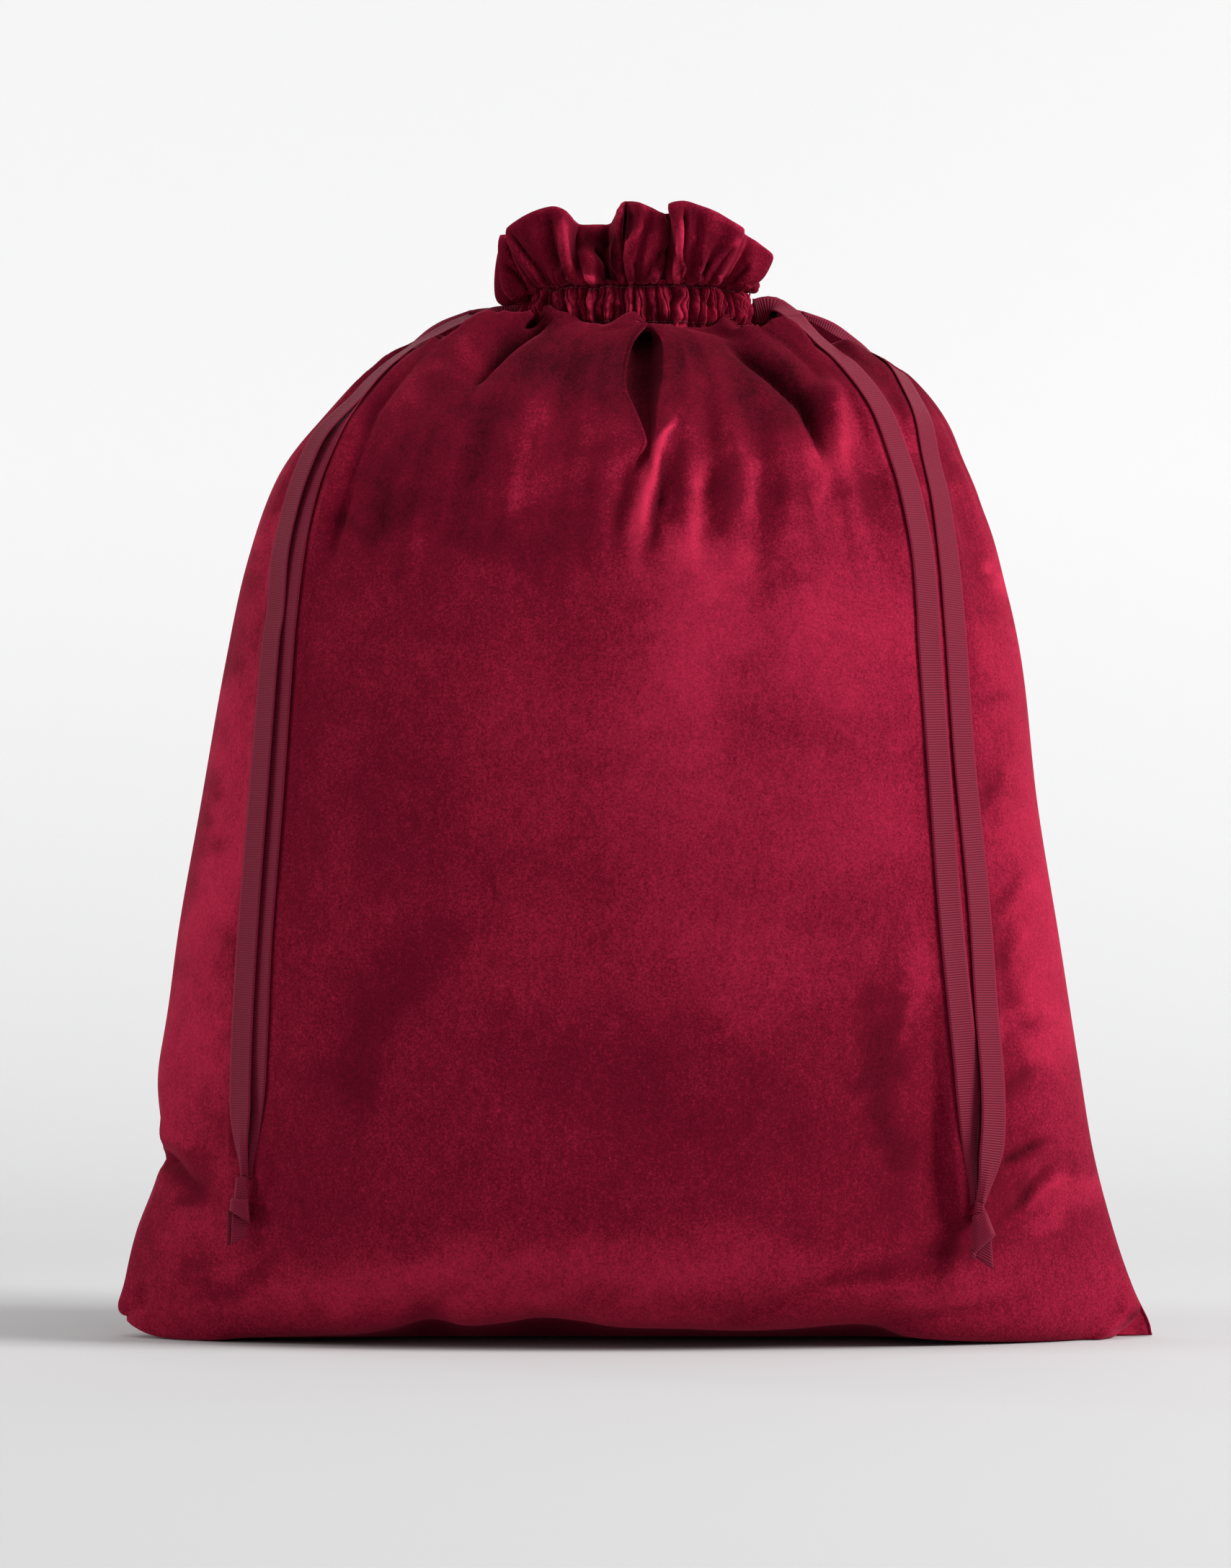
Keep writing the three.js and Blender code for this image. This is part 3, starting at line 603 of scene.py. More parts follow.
# Small creases on the right side: points, depth
SIDE_CREASES = [
    ([(205, 160), (222, 172), (238, 180)], 1.8),
    ([(200, 222), (216, 236), (232, 246)], 1.8),
    ([(208, 130), (222, 137), (240, 150)], 1.4),
    ([(212, 97), (222, 104), (234, 112)], 3.0),
    ([(220, 73), (230, 86), (243, 100)], 3.2),
    ([(214, 262), (224, 268), (236, 276)], 1.4),
    ([(150, 42), (180, 50), (220, 66), (256, 88)], 1.6),
    ([(96, 22), (140, 28), (190, 40), (240, 62)], 1.8),
]
# Faint level creases across the middle: points, depth
LEVEL_CREASES = [
    ([(-10, 350), (40, 344), (90, 348), (136, 340)], 1.0),
    ([(-60, 330), (0, 322), (60, 326)], 0.8),
    ([(-150, 300), (-90, 296), (-30, 303)], 0.6),
    ([(20, 236), (90, 240), (150, 234)], 0.7),
    ([(-170, 410), (-110, 404), (-60, 412)], 0.8),
]
# Gathers and soft level waves on the back: points, height, width
BACK_GATHERS = [
    ([(0, 590), (4, 540), (8, 480), (6, 430)], -6, 7),
    ([(22, 590), (34, 540), (42, 490), (44, 450)], 3, 9),
    ([(44, 590), (66, 540), (80, 480), (84, 430)], -5, 8),
    ([(66, 590), (100, 540), (122, 480)], 3, 10),
    ([(84, 590), (130, 540), (154, 480), (166, 430)], -5, 8),
    ([(-22, 590), (-32, 540), (-36, 480)], 3, 9),
    ([(-40, 590), (-58, 545), (-70, 490), (-74, 440)], -5, 8),
    ([(-62, 590), (-92, 540), (-110, 480)], 3, 10),
    ([(-80, 590), (-122, 545), (-146, 490), (-158, 440)], -5, 8),
    ([(-100, 585), (-150, 535), (-176, 480)], 3, 9),
    ([(-230, 150), (-180, 140), (-120, 146)], -2, 8),
    ([(120, 210), (180, 222), (230, 214)], -1.6, 8),
    ([(-60, 300), (20, 296), (110, 304)], -1.2, 8),
    ([(150, 60), (200, 84), (250, 120)], -2.5, 8),
    ([(-250, 60), (-200, 46), (-140, 50)], -2.5, 9),
]


def front_relief(x, z):
    """How far the front cloth stands out from the smooth body, where the camera sees it at x, z."""
    out = np.zeros_like(x)
    for line, depth, width, unusual in FRONT_FOLDS:
        out += fold(x, z, line, depth, width, **unusual)
    for line, height, width in FRONT_RIDGES:
        out += ridge(x, z, line, height, width)
    for line, height, width in FRONT_GATHERS:
        out += ridge(x, z, line, height, width, 0.35, 0.5)
    for line, depth in SIDE_CREASES:
        out += fold(x, z, line, depth, 5, roll=depth * 0.6, roll_width=9)
    for line, depth in LEVEL_CREASES:
        out += fold(x, z, line, depth, 6)
    return out


def back_relief(x, z):
    """How far the back cloth stands out from the smooth body at x, z."""
    out = np.zeros_like(x)
    for line, height, width in BACK_GATHERS:
        out += ridge(x, z, line, height, width, 0.25, 0.5)
    return out


# Patches, partly of nap that lies the other way and partly of painted light and shade, the bright ones
# painting the light on the right and the sheen at the sides: x, z, half-width, half-height, lean in degrees,
# brightness
FRONT_NAP_AND_LIGHT_PATCHES = [
    (-112, 515, 48, 34, 20, -0.17), (-148, 480, 30, 9, 12, -0.18), (-84, 462, 40, 16, -24, -0.15),
    (-26, 564, 60, 22, 0, -0.19), (-4, 532, 24, 14, 0, -0.12), (-38, 470, 30, 20, 4, -0.13),
    (80, 546, 24, 22, 0, -0.16), (50, 492, 20, 20, 0, -0.10), (112, 495, 40, 44, 0, 0.04),
    (74, 440, 30, 8, 0, -0.08), (70, 420, 60, 26, 10, 0.04), (120, 420, 40, 66, 0, 0.10),
    (60, 345, 100, 20, 8, -0.03), (100, 335, 90, 110, 0, 0.10), (36, 410, 28, 70, 0, 0.12),
    (46, 452, 26, 22, 0, 0.20), (8, 340, 46, 120, 0, 0.10), (-66, 370, 36, 80, 0, 0.07),
    (130, 528, 28, 30, 20, 0.20), (110, 300, 50, 30, 6, 0.03), (-138, 212, 26, 38, -38, -0.17),
    (-166, 160, 18, 30, -30, -0.13), (-178, 300, 14, 70, -6, 0.08), (-150, 400, 26, 40, 0, 0.06),
    (-20, 222, 150, 46, 0, 0.09), (60, 225, 34, 44, 0, 0.06), (166, 208, 14, 34, 0, 0.14),
    (-60, 30, 190, 18, 4, 0.11), (-262, 92, 15, 13, -40, -0.22), (-246, 34, 28, 8, 8, -0.12),
    (-236, 320, 16, 90, -8, 0.27), (-256, 190, 22, 80, -3, 0.22), (-256, 74, 30, 30, 0, 0.13),
    (-214, 450, 12, 40, -30, 0.16), (240, 275, 34, 160, 6, 0.25), (288, 5, 10, 7, 0, 0.22),
    (-105, 270, 60, 150, 0, 0.04), (126, 300, 60, 110, 4, 0.02), (226, 440, 14, 60, 14, 0.32),
    (232, 178, 18, 24, 0, 0.14), (246, 78, 24, 13, 20, 0.16), (198, 130, 12, 46, 4, -0.15),
    (148, 150, 13, 64, 3, -0.20), (196, 480, 12, 44, 18, 0.03), (-100, 572, 14, 8, -40, 0.14),
    (-138, 552, 9, 26, -42, 0.07),
]
# Painted highlights along ridges, and painted shade along creases and the gap by the flat corner: points x, z
# from top to bottom, width, brightness
FRONT_PAINTED_LIGHT_STREAKS = [
    ([(20.5, 538), (18, 529), (15.5, 520), (12.5, 511), (8.5, 500)], 2.4, 0.66),
    ([(15, 520), (11, 507), (6, 492), (2, 478), (-1.5, 460), (-2.6, 436)], 5.0, 0.42),
    ([(18.5, 521), (15, 502), (11.8, 482), (8.5, 462), (5, 442)], 2.4, -0.34),
    ([(18, 583), (18.5, 566), (16.5, 550), (13.5, 532)], 4.0, -0.11),
    ([(28.8, 563), (38.8, 551), (46.4, 536)], 2.5, 0.12),
    ([(23, 544), (26, 537), (30, 528)], 1.8, 0.16),
    ([(1, 514), (-4, 496), (-10, 474), (-13, 450)], 4.5, -0.16),
    ([(29, 526), (26, 500), (23, 474), (18, 452)], 4.5, -0.22),
    ([(41, 526), (39, 504), (36.5, 480), (30, 448)], 4.4, 0.28),
    ([(56, 530), (55, 498), (52, 462)], 5.5, -0.18),
    ([(67, 520), (68, 496), (65, 468)], 4.0, 0.26),
    ([(83, 515), (85, 490), (80, 460)], 4.0, -0.16),
    ([(104, 530), (108, 500), (106, 460)], 5.0, 0.24),
    ([(-7, 530), (-11, 500), (-16, 468)], 5.0, 0.08),
    ([(-20, 530), (-25, 500), (-30, 470)], 5.0, -0.12),
    ([(-60, 540), (-68, 505), (-74, 470)], 6.0, 0.10),
    ([(-84, 535), (-96, 500), (-104, 465)], 6.0, -0.10),
    ([(210, 97), (222, 105), (238, 114), (246, 118)], 2.8, -0.32),
    ([(214, 68), (227, 80), (239, 94), (250, 102)], 2.8, -0.34),
    ([(219, 66), (232, 79), (245, 93), (256, 101)], 3.0, 0.12),
    ([(276, 1), (284, 7), (290, 14), (293, 20)], 1.6, -0.5),
    ([(204, 134), (222, 150), (244, 162)], 5.0, -0.16),
    ([(206, 208), (216, 226), (222, 244)], 4.5, -0.18),
    ([(208, 246), (218, 262), (226, 276)], 4.5, -0.16),
    ([(196, 300), (208, 318), (214, 336)], 5.5, -0.14),
    ([(196, 366), (208, 372), (222, 374)], 3.0, -0.10),
    ([(-104, 18), (-60, 26), (-10, 24)], 7.0, -0.07),
    ([(90, 26), (150, 38), (210, 58), (252, 82)], 7.0, -0.12),
    ([(120, 12), (180, 18), (240, 32)], 6.0, 0.10),
]
# The same on the back, where the bright patches at the sides paint the sheen at the edges
BACK_NAP_AND_LIGHT_PATCHES = [
    (90, 500, 50, 40, 20, -0.14), (-70, 470, 44, 22, -20, -0.14), (-120, 250, 36, 60, 30, -0.10),
    (268, 275, 46, 180, 6, 0.20), (240, 440, 32, 70, 14, 0.20), (-266, 200, 48, 120, -3, 0.12),
    (-250, 350, 40, 110, -8, 0.10), (140, 330, 50, 24, -10, 0.14), (60, 120, 60, 26, 12, -0.14),
    (-180, 400, 20, 80, 6, 0.12), (0, 360, 70, 30, 0, 0.1),
]


PATCH_EDGE = 1.8  # how sharply a patch ends


def patches(x, z, listed):
    """Soft-edged patches with an irregular brushed outline."""
    ragged_x = x + 14 * layered_noise(x / 26, z / 26, 3) + 5 * noise(x / 7, z / 7, 8)
    ragged_z = z + 14 * layered_noise(x / 26 + 9, z / 26, 5) + 5 * noise(x / 7, z / 7 + 5, 9)
    total = np.zeros_like(x)
    for px, pz, wide, tall, lean, strength in listed:
        angle = math.radians(lean)
        dx, dz = ragged_x - px, ragged_z - pz
        u = (dx * math.cos(angle) + dz * math.sin(angle)) / wide
        v = (-dx * math.sin(angle) + dz * math.cos(angle)) / tall
        total += strength * np.exp(-((u * u + v * v) ** PATCH_EDGE))
    return total


def body_tone_and_painted_light(x, z, side, reach, relief):
    """Brightness of the nap, with painted light and shade: clouds, brushed marks and blotches of its own
    tone, streaks that paint the light and shade of the gathers below the neck, painted shade in the relief's
    valleys and painted highlight on its ridges, painted shade just below the neck, lighter near the floor,
    then painted lines and patches.
    """
    cloud = 0.06 * layered_noise(x / 80, z / 60, 1 if side < 0 else 6)
    brushed = 0.02 * layered_noise(x / 14 + z / 60, z / 34, 2)
    handled = smoothstep(z, 430, 500) * (1 - 0.6 * smoothstep(z, 550, 590))
    blotches = 0.12 * layered_noise(x / 15, z / 12, 11) * handled
    # streaks that paint the light and shade of the gathers below the neck
    streaks = 0.10 * layered_noise(reach * 26, z / 80, 12) * smoothstep(z, 400, 480)
    # painted shade in the relief's valleys, painted highlight on its ridges
    total = NAP_MIDDLE + cloud + brushed + blotches + streaks + 0.02 * np.clip(relief, -9, 6)
    # painted shade just below the neck, and lighter near the floor
    total = total - 0.20 * smoothstep(z, 505, 572) + 0.09 * (1 - smoothstep(z, 22, 75))
    if side < 0:
        wavering = x + 2.2 * noise(x / 9, z / 9, 4)
        # painted highlights along ridges and painted shade along creases
        for line, width, strength in FRONT_PAINTED_LIGHT_STREAKS:
            total = total + ridge(wavering, z, line, strength, width, 0.3, 0.5)
    # patches of nap tone and of painted light and sheen
    return total + patches(x, z, FRONT_NAP_AND_LIGHT_PATCHES if side < 0 else BACK_NAP_AND_LIGHT_PATCHES)


# Left and right lips of the open pleat below the neck, and how deep it is: height, left, right, depth
PLEAT = np.array(
    [
        (496, 6.5, 7.1, 0),
        (505, 6.6, 7.4, 1.5),
        (512, 6.4, 8.0, 3),
        (518, 5.9, 8.7, 5),
        (524, 4.7, 9.6, 7),
        (532, 1.9, 10.6, 10),
        (542.5, -2.5, 11.6, 13),
        (550.7, -6.2, 13.2, 14),
        (557.2, -6.6, 14.4, 14),
        (566, -5.6, 15.2, 14),
        (575, -3.2, 15.0, 16),
        (579.6, -1.2, 14.2, 22),
        (583.5, 1.6, 12.6, 26),
        (586, 4.2, 10.6, 24),
        (588.5, 6.4, 8.4, 6),
    ]
)
PLEAT_COLUMNS = 10  # columns inside the pleat
PLEAT_SHARES = (0.492, 0.514)  # where they start and end, across the front
LIP_COLUMNS = 5  # fine columns on each lip
LIP_SHARE = 0.010
LIP_REACH = 22  # how far to each side the cloth moves with a lip
LEFT_ROLL, RIGHT_ROLL = 3.0, 1.0  # how far each lip stands out


def front_columns():
    """Shares across the front, closer together round the pleat, and the columns of its two lips."""
    left, right = PLEAT_SHARES
    spread = np.linspace(0, left - LIP_SHARE, FRONT_COLUMNS // 2)[:-1]
    before = np.linspace(left - LIP_SHARE, left, LIP_COLUMNS + 1)[:-1]
    inside = np.linspace(left, right, PLEAT_COLUMNS + 1)[:-1]
    after = np.linspace(right, right + LIP_SHARE, LIP_COLUMNS + 1)[:-1]
    rest = np.linspace(right + LIP_SHARE, 1, FRONT_COLUMNS // 2)
    first = len(spread) + len(before)
    return np.concatenate([spread, before, inside, after, rest]), first, first + len(inside)


def open_pleat(points, first, last, nap_and_painted_light):
    """Moves the columns round the pleat on to its lips, and sinks the cloth between them and darkens it with
    painted shade.
    """
    x, z = seen_plane(points)
    columns = np.arange(points.shape[1])
    steps = columns - first
    share_in = np.clip(steps / (last - first), 0, 1)
    inside = (columns > first) & (columns < last)
    steepness = (1 - np.exp(-np.maximum(steps, 0) / 0.8)) * smoothstep(last - columns, -0.5, 4.5) * inside
    tuck = -3.2 * np.exp(-((steps - 1.2) ** 2) / 2.5) * inside
    for row, height in enumerate(z[:, (first + last) // 2]):
        if not PLEAT[0, 0] < height < PLEAT[-1, 0]:
            continue
        left_lip, right_lip, depth = (np.interp(height, PLEAT[:, 0], PLEAT[:, k]) for k in (1, 2, 3))
        open_share = smoothstep(depth, 0, 6)
        left_of, right_of = np.minimum(x[row] - x[row, first], 0), x[row] - x[row, last]
        move = (left_lip - x[row, first]) * (1 - share_in) + (right_lip - x[row, last]) * share_in
        move = move * bell(left_of, LIP_REACH) * bell(np.maximum(right_of, 0), LIP_REACH)
        lip_roll = LEFT_ROLL * bell(left_of, 9) * (columns <= first)
        lip_roll = lip_roll + RIGHT_ROLL * bell(np.maximum(right_of - 4, 0), 8) * (columns >= last)
        # painted shade inside the pleat, deepest near its top and by its right lip
        pleat_shade = 0.13 + 0.26 * smoothstep(height, 574, 584) + 0.07 * bell(last - 2 - columns, 1.6)
        nap_and_painted_light[row] -= pleat_shade * open_share * inside
        points[row, :, 0] += (move + tuck) * open_share
        points[row, :, 1] += depth * steepness - lip_roll * open_share
    return points


# How far the front's lower edge is drawn up from the floor: x, height
LIFTED_EDGE = [
    (-300, 0), (-250, 0), (-224, 4), (-182, 5.5), (-158, 6.5), (-138, 10), (-118, 15), (-98, 11.5),
    (-77, 13), (-56, 16), (-35, 14.5), (-12, 11), (28, 10), (60, 9), (91, 10), (118, 12), (136, 11),
    (152, 5), (175, 2.5), (205, 1), (250, 0), (300, 0),
]


def lift_edge(points):
    """Draws the front's lower edge up, and a little way in."""
    x, y, z = points[..., 0], points[..., 1], points[..., 2]
    lift = along_points(LIFTED_EDGE, x) * np.exp(-z / 24) * smoothstep(-y, 8, 80)
    points[..., 2] = z + lift
    points[..., 1] = y * (1 - 0.010 * lift)
    return points


CORNER_X = -303.5
CORNER_RADIUS = 20.0
CORNER_TIP, CORNER_RISE = -296, 4.2  # the corner's outermost stretch, and how far it is drawn up
CORNER_SWELL = 3.5
NOTCH_HEIGHT, NOTCH_DEPTH = 146, 4.0
BULGE_HEIGHT, BULGE = 103, 3.0
# The line where the stuffed part ends and the flat corner at the right begins: heights and x
EAR_HEIGHTS = [0, 7, 12, 18, 30]
EAR_LINE = [274, 283, 289, 292, 300]
EAR_TOP = (18, 34)  # where the flat corner starts to fade, and has gone
EAR_THICK = 2.0
EAR_SWELL = {-1: 15, 1: 4}  # how far the stuffed front and back bulge beside it


def round_left_corner(points):
    """Rounds the stuffed corner at the left, and draws in the notch where the side folds above it."""
    x, y, z = points[..., 0], points[..., 1], points[..., 2]
    across, up = x - (CORNER_X + CORNER_RADIUS), z - CORNER_RADIUS
    inside = (across < 0) & (up < 0)
    longest = np.maximum(np.abs(across), np.abs(up))
    shrink = np.where(inside, longest / np.maximum(np.hypot(across, up), 1e-6), 1)
    shrink = 1 - (1 - shrink) * (1 - smoothstep(np.abs(y), 30, 80))
    notch = -NOTCH_DEPTH * bell(z - NOTCH_HEIGHT, 34) + BULGE * bell(z - BULGE_HEIGHT, 5)
    swollen = -CORNER_SWELL * bell(z - 12, 12) * smoothstep(-x, 270, 300)
    points[..., 0] = x + across * (shrink - 1) + notch * smoothstep(-x, 255, 275) + swollen
    rise = CORNER_RISE + 2.8 * smoothstep(np.abs(y), 5, 34)
    drawn_up = bell(x - CORNER_TIP, 13) * rise * np.exp(-z / 10)
    points[..., 2] = z + up * (shrink - 1) + drawn_up
    return points


def shape_right_ear(points, side):
    """The flat corner at the right, and the stuffed front that bulges over it."""
    x, y, z = points[..., 0], points[..., 1], points[..., 2]
    line = np.interp(z, EAR_HEIGHTS, EAR_LINE)
    past = x - line
    corner = 1 - smoothstep(z, *EAR_TOP)
    closed = 1 - np.exp(-np.maximum(x[:, -1:] - x, 0) / 4)
    flat = smoothstep(past, -0.5, 2.5) * corner * smoothstep(x[:, -1:] - line, 1, 5)
    roll = (1 - np.exp(-np.maximum(-past, 0) / 9)) * corner
    swell = side * EAR_SWELL[side] * bell(past + 6, 8)
    stuffed = y * (1 - corner) + y * roll + swell * corner * closed
    points[..., 1] = stuffed * (1 - flat) + side * EAR_THICK * flat * closed
    if side < 0:
        points[..., 0] = x + 3.5 * bell(past + 1.5, 2.5) * corner * closed
    return points


LIFT_CLEAR, PRESS_CLEAR = 1.5, 1.1  # between the cloth and the middle of a ribbon, lifted and pressed
LARGEST_LIFT = 12
UNDER_HALF, UNDER_EDGE = 7, 6  # the cloth within the first of a ribbon's line moves fully, beyond it less
NEARBY = 40


def ribbon_rest(points, routes):
    """Lifts the cloth to each ribbon that lies over it where the gap is small, then presses it down
    wherever it would come through."""
    for clear, largest in ((LIFT_CLEAR, LARGEST_LIFT), (PRESS_CLEAR, 0)):
        for path, facing in routes:
            for place, face in zip(path, facing):
                offset = points - place
                height = offset @ face
                beside = np.linalg.norm(offset - height[..., None] * face, axis=-1)
                under = bell(np.maximum(beside - UNDER_HALF, 0), UNDER_EDGE) * (np.abs(height) < NEARBY)
                close = smoothstep(under, 0.05, 0.95)
                over = height + clear
                if largest > 0:
                    over = np.minimum(over, 0) * (1 - smoothstep(-over, largest / 2, largest))
                points -= (np.maximum(over, -largest) * close)[..., None] * face
    return points


def route_face(route):
    """The way a ribbon's face looks at each route point: out from the sack, and upwards at the shoulder."""
    faces = []
    for point in route:
        if len(point) == 6:
            face = np.array(point[3:], float)
        else:
            x, y, z = point
            sideways = 0.27 + 0.08 * smoothstep(z, 150, 350)
            upwards = 0.25 * smoothstep(z, 200, 460) + 0.6 * smoothstep(z, 470, 590)
            level = np.array([sideways * x, y, 0.0])
            level *= math.sqrt(1 - upwards**2) / np.linalg.norm(level)
            face = level + np.array([0, 0, float(upwards)])
        faces.append(face / np.linalg.norm(face))
    return np.array(faces)


def dense_route(route, step):
    """Points every few millimetres along a route, with the direction and the face at each, and its length."""
    places = np.array([p[:3] for p in route], float)
    fine = np.linspace(0, len(route) - 1, 40 * len(route))
    line = curve_through(places, fine)
    length = length_along(line)
    count = max(4, int(length[-1] / step))
    wanted = np.interp(np.linspace(0, length[-1], count + 1), length, fine)
    path = curve_through(places, wanted)
    face = unit(curve_through(route_face(route), wanted))
    tangent = unit(np.gradient(path, axis=0))
    face = unit(face - (face * tangent).sum(1, keepdims=True) * tangent)
    return path, tangent, face, length[-1]


LYING = [LEFT_OUTER_TAIL, LEFT_INNER_TAIL, RIGHT_INNER_TAIL, RIGHT_OUTER_TAIL]
LYING += [LEFT_FRONT_LEAD, LEFT_BACK_LEAD, RIGHT_FRONT_LEAD, RIGHT_BACK_LEAD]
INNER_FLOOR = 0.4  # the lowest that the inside of the cloth comes


def outward_normals(points, side):
    return grid_normals(points) * (1 if side < 0 else -1)


def panel_relief(points, side, across):
    """How far a panel stands out from the smooth body: its folds, soft waves, and gathers below the neck."""
    x, z = points[..., 0], points[..., 2]
    seen_x, seen_z = seen_plane(points)
    relief = front_relief(seen_x, seen_z) if side < 0 else back_relief(x, z)
    relief = relief + 2.4 * layered_noise(x / 95, z / 80, 4 if side < 0 else 7, 2)
    upper = smoothstep(seen_z, 380, 560)
    return relief + 0.9 * upper * layered_noise(across[None, :] * 46, z / 70, 9, 2)


def make_panel(name, side):
    """One of the sack's two panels, and the points of its outside."""
    if side < 0:
        across, first, last = front_columns()
    else:
        across = np.linspace(0, 1, FRONT_COLUMNS + 1)
    points, rows = body_grid(side, across)
    x, z = seen_plane(points)
    relief = panel_relief(points, side, across)
    reach = np.abs(np.sin((across[None, :] - 0.5) * math.pi))
    keep = (1 - smoothstep(reach, 0.985, 1.0)) * smoothstep(rows, 2.0, 3.4)[:, None]
    keep = keep * smoothstep(LAST_RING - rows, 0, 0.5)[:, None]
    points = points + outward_normals(points, side) * (relief * keep)[..., None]
    nap_and_painted_light = body_tone_and_painted_light(x, z, side, reach, relief)
    if side < 0:
        points = open_pleat(points, first, last, nap_and_painted_light)
        points = lift_edge(points)
    points = round_left_corner(points)
    points = shape_right_ear(points, side)
    routes = [dense_route(route, 4) for route in LYING]
    points = ribbon_rest(points, [(path, face) for path, _, face, _ in routes])
    points[..., 2] = np.maximum(points[..., 2], 0)
    points[..., 1] = side * np.maximum(side * points[..., 1], 0)
    inner = points - outward_normals(points, side) * PANEL_THICK
    inner[..., 2] = np.maximum(inner[..., 2], INNER_FLOOR)
    return shell_object(name, points, inner, velvet, side > 0, {"nap_and_painted_light": nap_and_painted_light}), points


pieces = {}  # what rides the sack, by the node that it stands in for
HALVES = (("front", -1), ("back", 1))
HANDS = (("left", -1), ("right", 1))
outsides = {}
for half, side in HALVES:
    pieces[f"{half}_panel"], outsides[half] = make_panel(f"sack_{half}", side)

# ---- The gathered neck: casing, facing and frill ----


def neck_ring(turn, side, out=0):
    """The outward direction at a share of the way round the neck, and the point that far out from it."""
    angle = math.pi * np.asarray(turn, float)
    outward = np.stack([-np.cos(angle), side * np.sin(angle)], -1)
    size = np.stack(np.broadcast_arrays(NECK_HALF_WIDTH + out, NECK_HALF_DEPTH + out), -1)
    return outward, outward * size


GATHERS = 30
GATHER_DEPTH = 7.0


def ruching(turn, up, layer):
    """Depth of the narrow upright gathers round the neck, from 0 in a valley to 1 on a ridge."""
    wander = 1.0 * noise(turn * 9, layer, 2) + 0.36 * noise(turn * 26, up * 3.0 + layer, 5)
    phase = GATHERS * turn + wander
    wave = np.abs(np.sin(math.pi * phase)) ** 0.5
    size = 0.68 + 0.32 * noise(np.floor(phase) * 1.7 + 0.5, layer * 3, 6)
    crumple = 0.42 * layered_noise(phase * 1.3, up * 5.5, 7 + layer, 2)
    forks = np.abs(np.sin(math.pi * (2.3 * phase + 0.9 * up + 0.7 * noise(turn * 40, up * 4, 13)))) ** 0.7
    return wave * (size + crumple) * (0.72 + 0.38 * forks)


CASING_COLUMNS, CASING_ROWS = 760, 34
CASING_INSET = 4.4  # the valleys of the gathers, in from the neck's line
CASING_THICK = 1.6


def make_casing(name, side):
    """Half of the ruched casing, from slit to slit, and the points of its outside."""
    start = math.asin(SLIT_HALF / NECK_HALF_DEPTH) / math.pi
    turn = np.broadcast_to(np.linspace(start, 1 - start, CASING_COLUMNS), (CASING_ROWS, CASING_COLUMNS))
    up = np.linspace(0, 1, CASING_ROWS)[:, None]
    ruche = ruching(turn, up, 1 if side < 0 else 2)
    pinch = 1 - 0.5 * bell(up - 0.93, 0.06) - 0.35 * bell(up - 0.1, 0.08)
    bulge = 1.8 * np.sin(math.pi * np.clip(up / 0.9, 0, 1))
    bulge = bulge - 2.0 * bell(up - 0.92, 0.05) - 1.2 * bell(up - 0.1, 0.07)
    ends = smoothstep(np.minimum(turn - start, 1 - start - turn), 0, 0.02)
    out = (GATHER_DEPTH * ruche * pinch + bulge - CASING_INSET) * ends - 1.0 * (1 - ends)
    outward, level = neck_ring(turn, side, out)
    sway = 1.3 * noise(turn * 15, up * 2.2, 3 + side)
    z = CASING_BOTTOM - 1 + up * (CASING_TOP - CASING_BOTTOM + 1.5) + 1.3 * noise(turn * 22, 0, 3) * up
    points = np.stack([level[..., 0] + sway, level[..., 1], z], -1)
    wrinkles = 0.16 * layered_noise(turn * 170 + up * 3, up * 5, 4) + 0.10 * noise(turn * 60, up * 3, 8)
    # lighter on the gathers' ridges and darker in their valleys: painted highlight and shade
    nap_and_painted_light = NAP_MIDDLE - 0.03 + 0.60 * (ruche - 0.50) + wrinkles
    inner = points.copy()
    inner[..., :2] -= outward * CASING_THICK
    return shell_object(name, points, inner, velvet, side > 0, {"nap_and_painted_light": nap_and_painted_light}), points


FACING_COLUMNS, FACING_ROWS = 240, 12
FACING_INSET = 12.4
FACING_WAVES = 15
FACING_THICK = 1.4


def make_facing(name, side):
    """Half of the smoother strip inside the casing."""
    shape = (FACING_ROWS, FACING_COLUMNS)
    turn = np.broadcast_to(np.linspace(0.008, 0.992, FACING_COLUMNS), shape)
    up = np.broadcast_to(np.linspace(0, 1, FACING_ROWS)[:, None], shape)
    wave = np.sin(2 * math.pi * FACING_WAVES * turn + 1.5 * noise(turn * 8, up, 4))
    outward, level = neck_ring(turn, side, 1.1 * wave - FACING_INSET)
    z = CASING_BOTTOM + 0.4 + up * (CASING_TOP - CASING_BOTTOM - 0.6)
    points = np.stack([level[..., 0], level[..., 1], z], -1)
    inner = points.copy()
    inner[..., :2] -= outward * FACING_THICK
    # painted shade and highlight that follow the strip's waves
    return shell_object(name, points, inner, velvet_back, side > 0, {"nap_and_painted_light": 0.5 + 0.1 * wave})


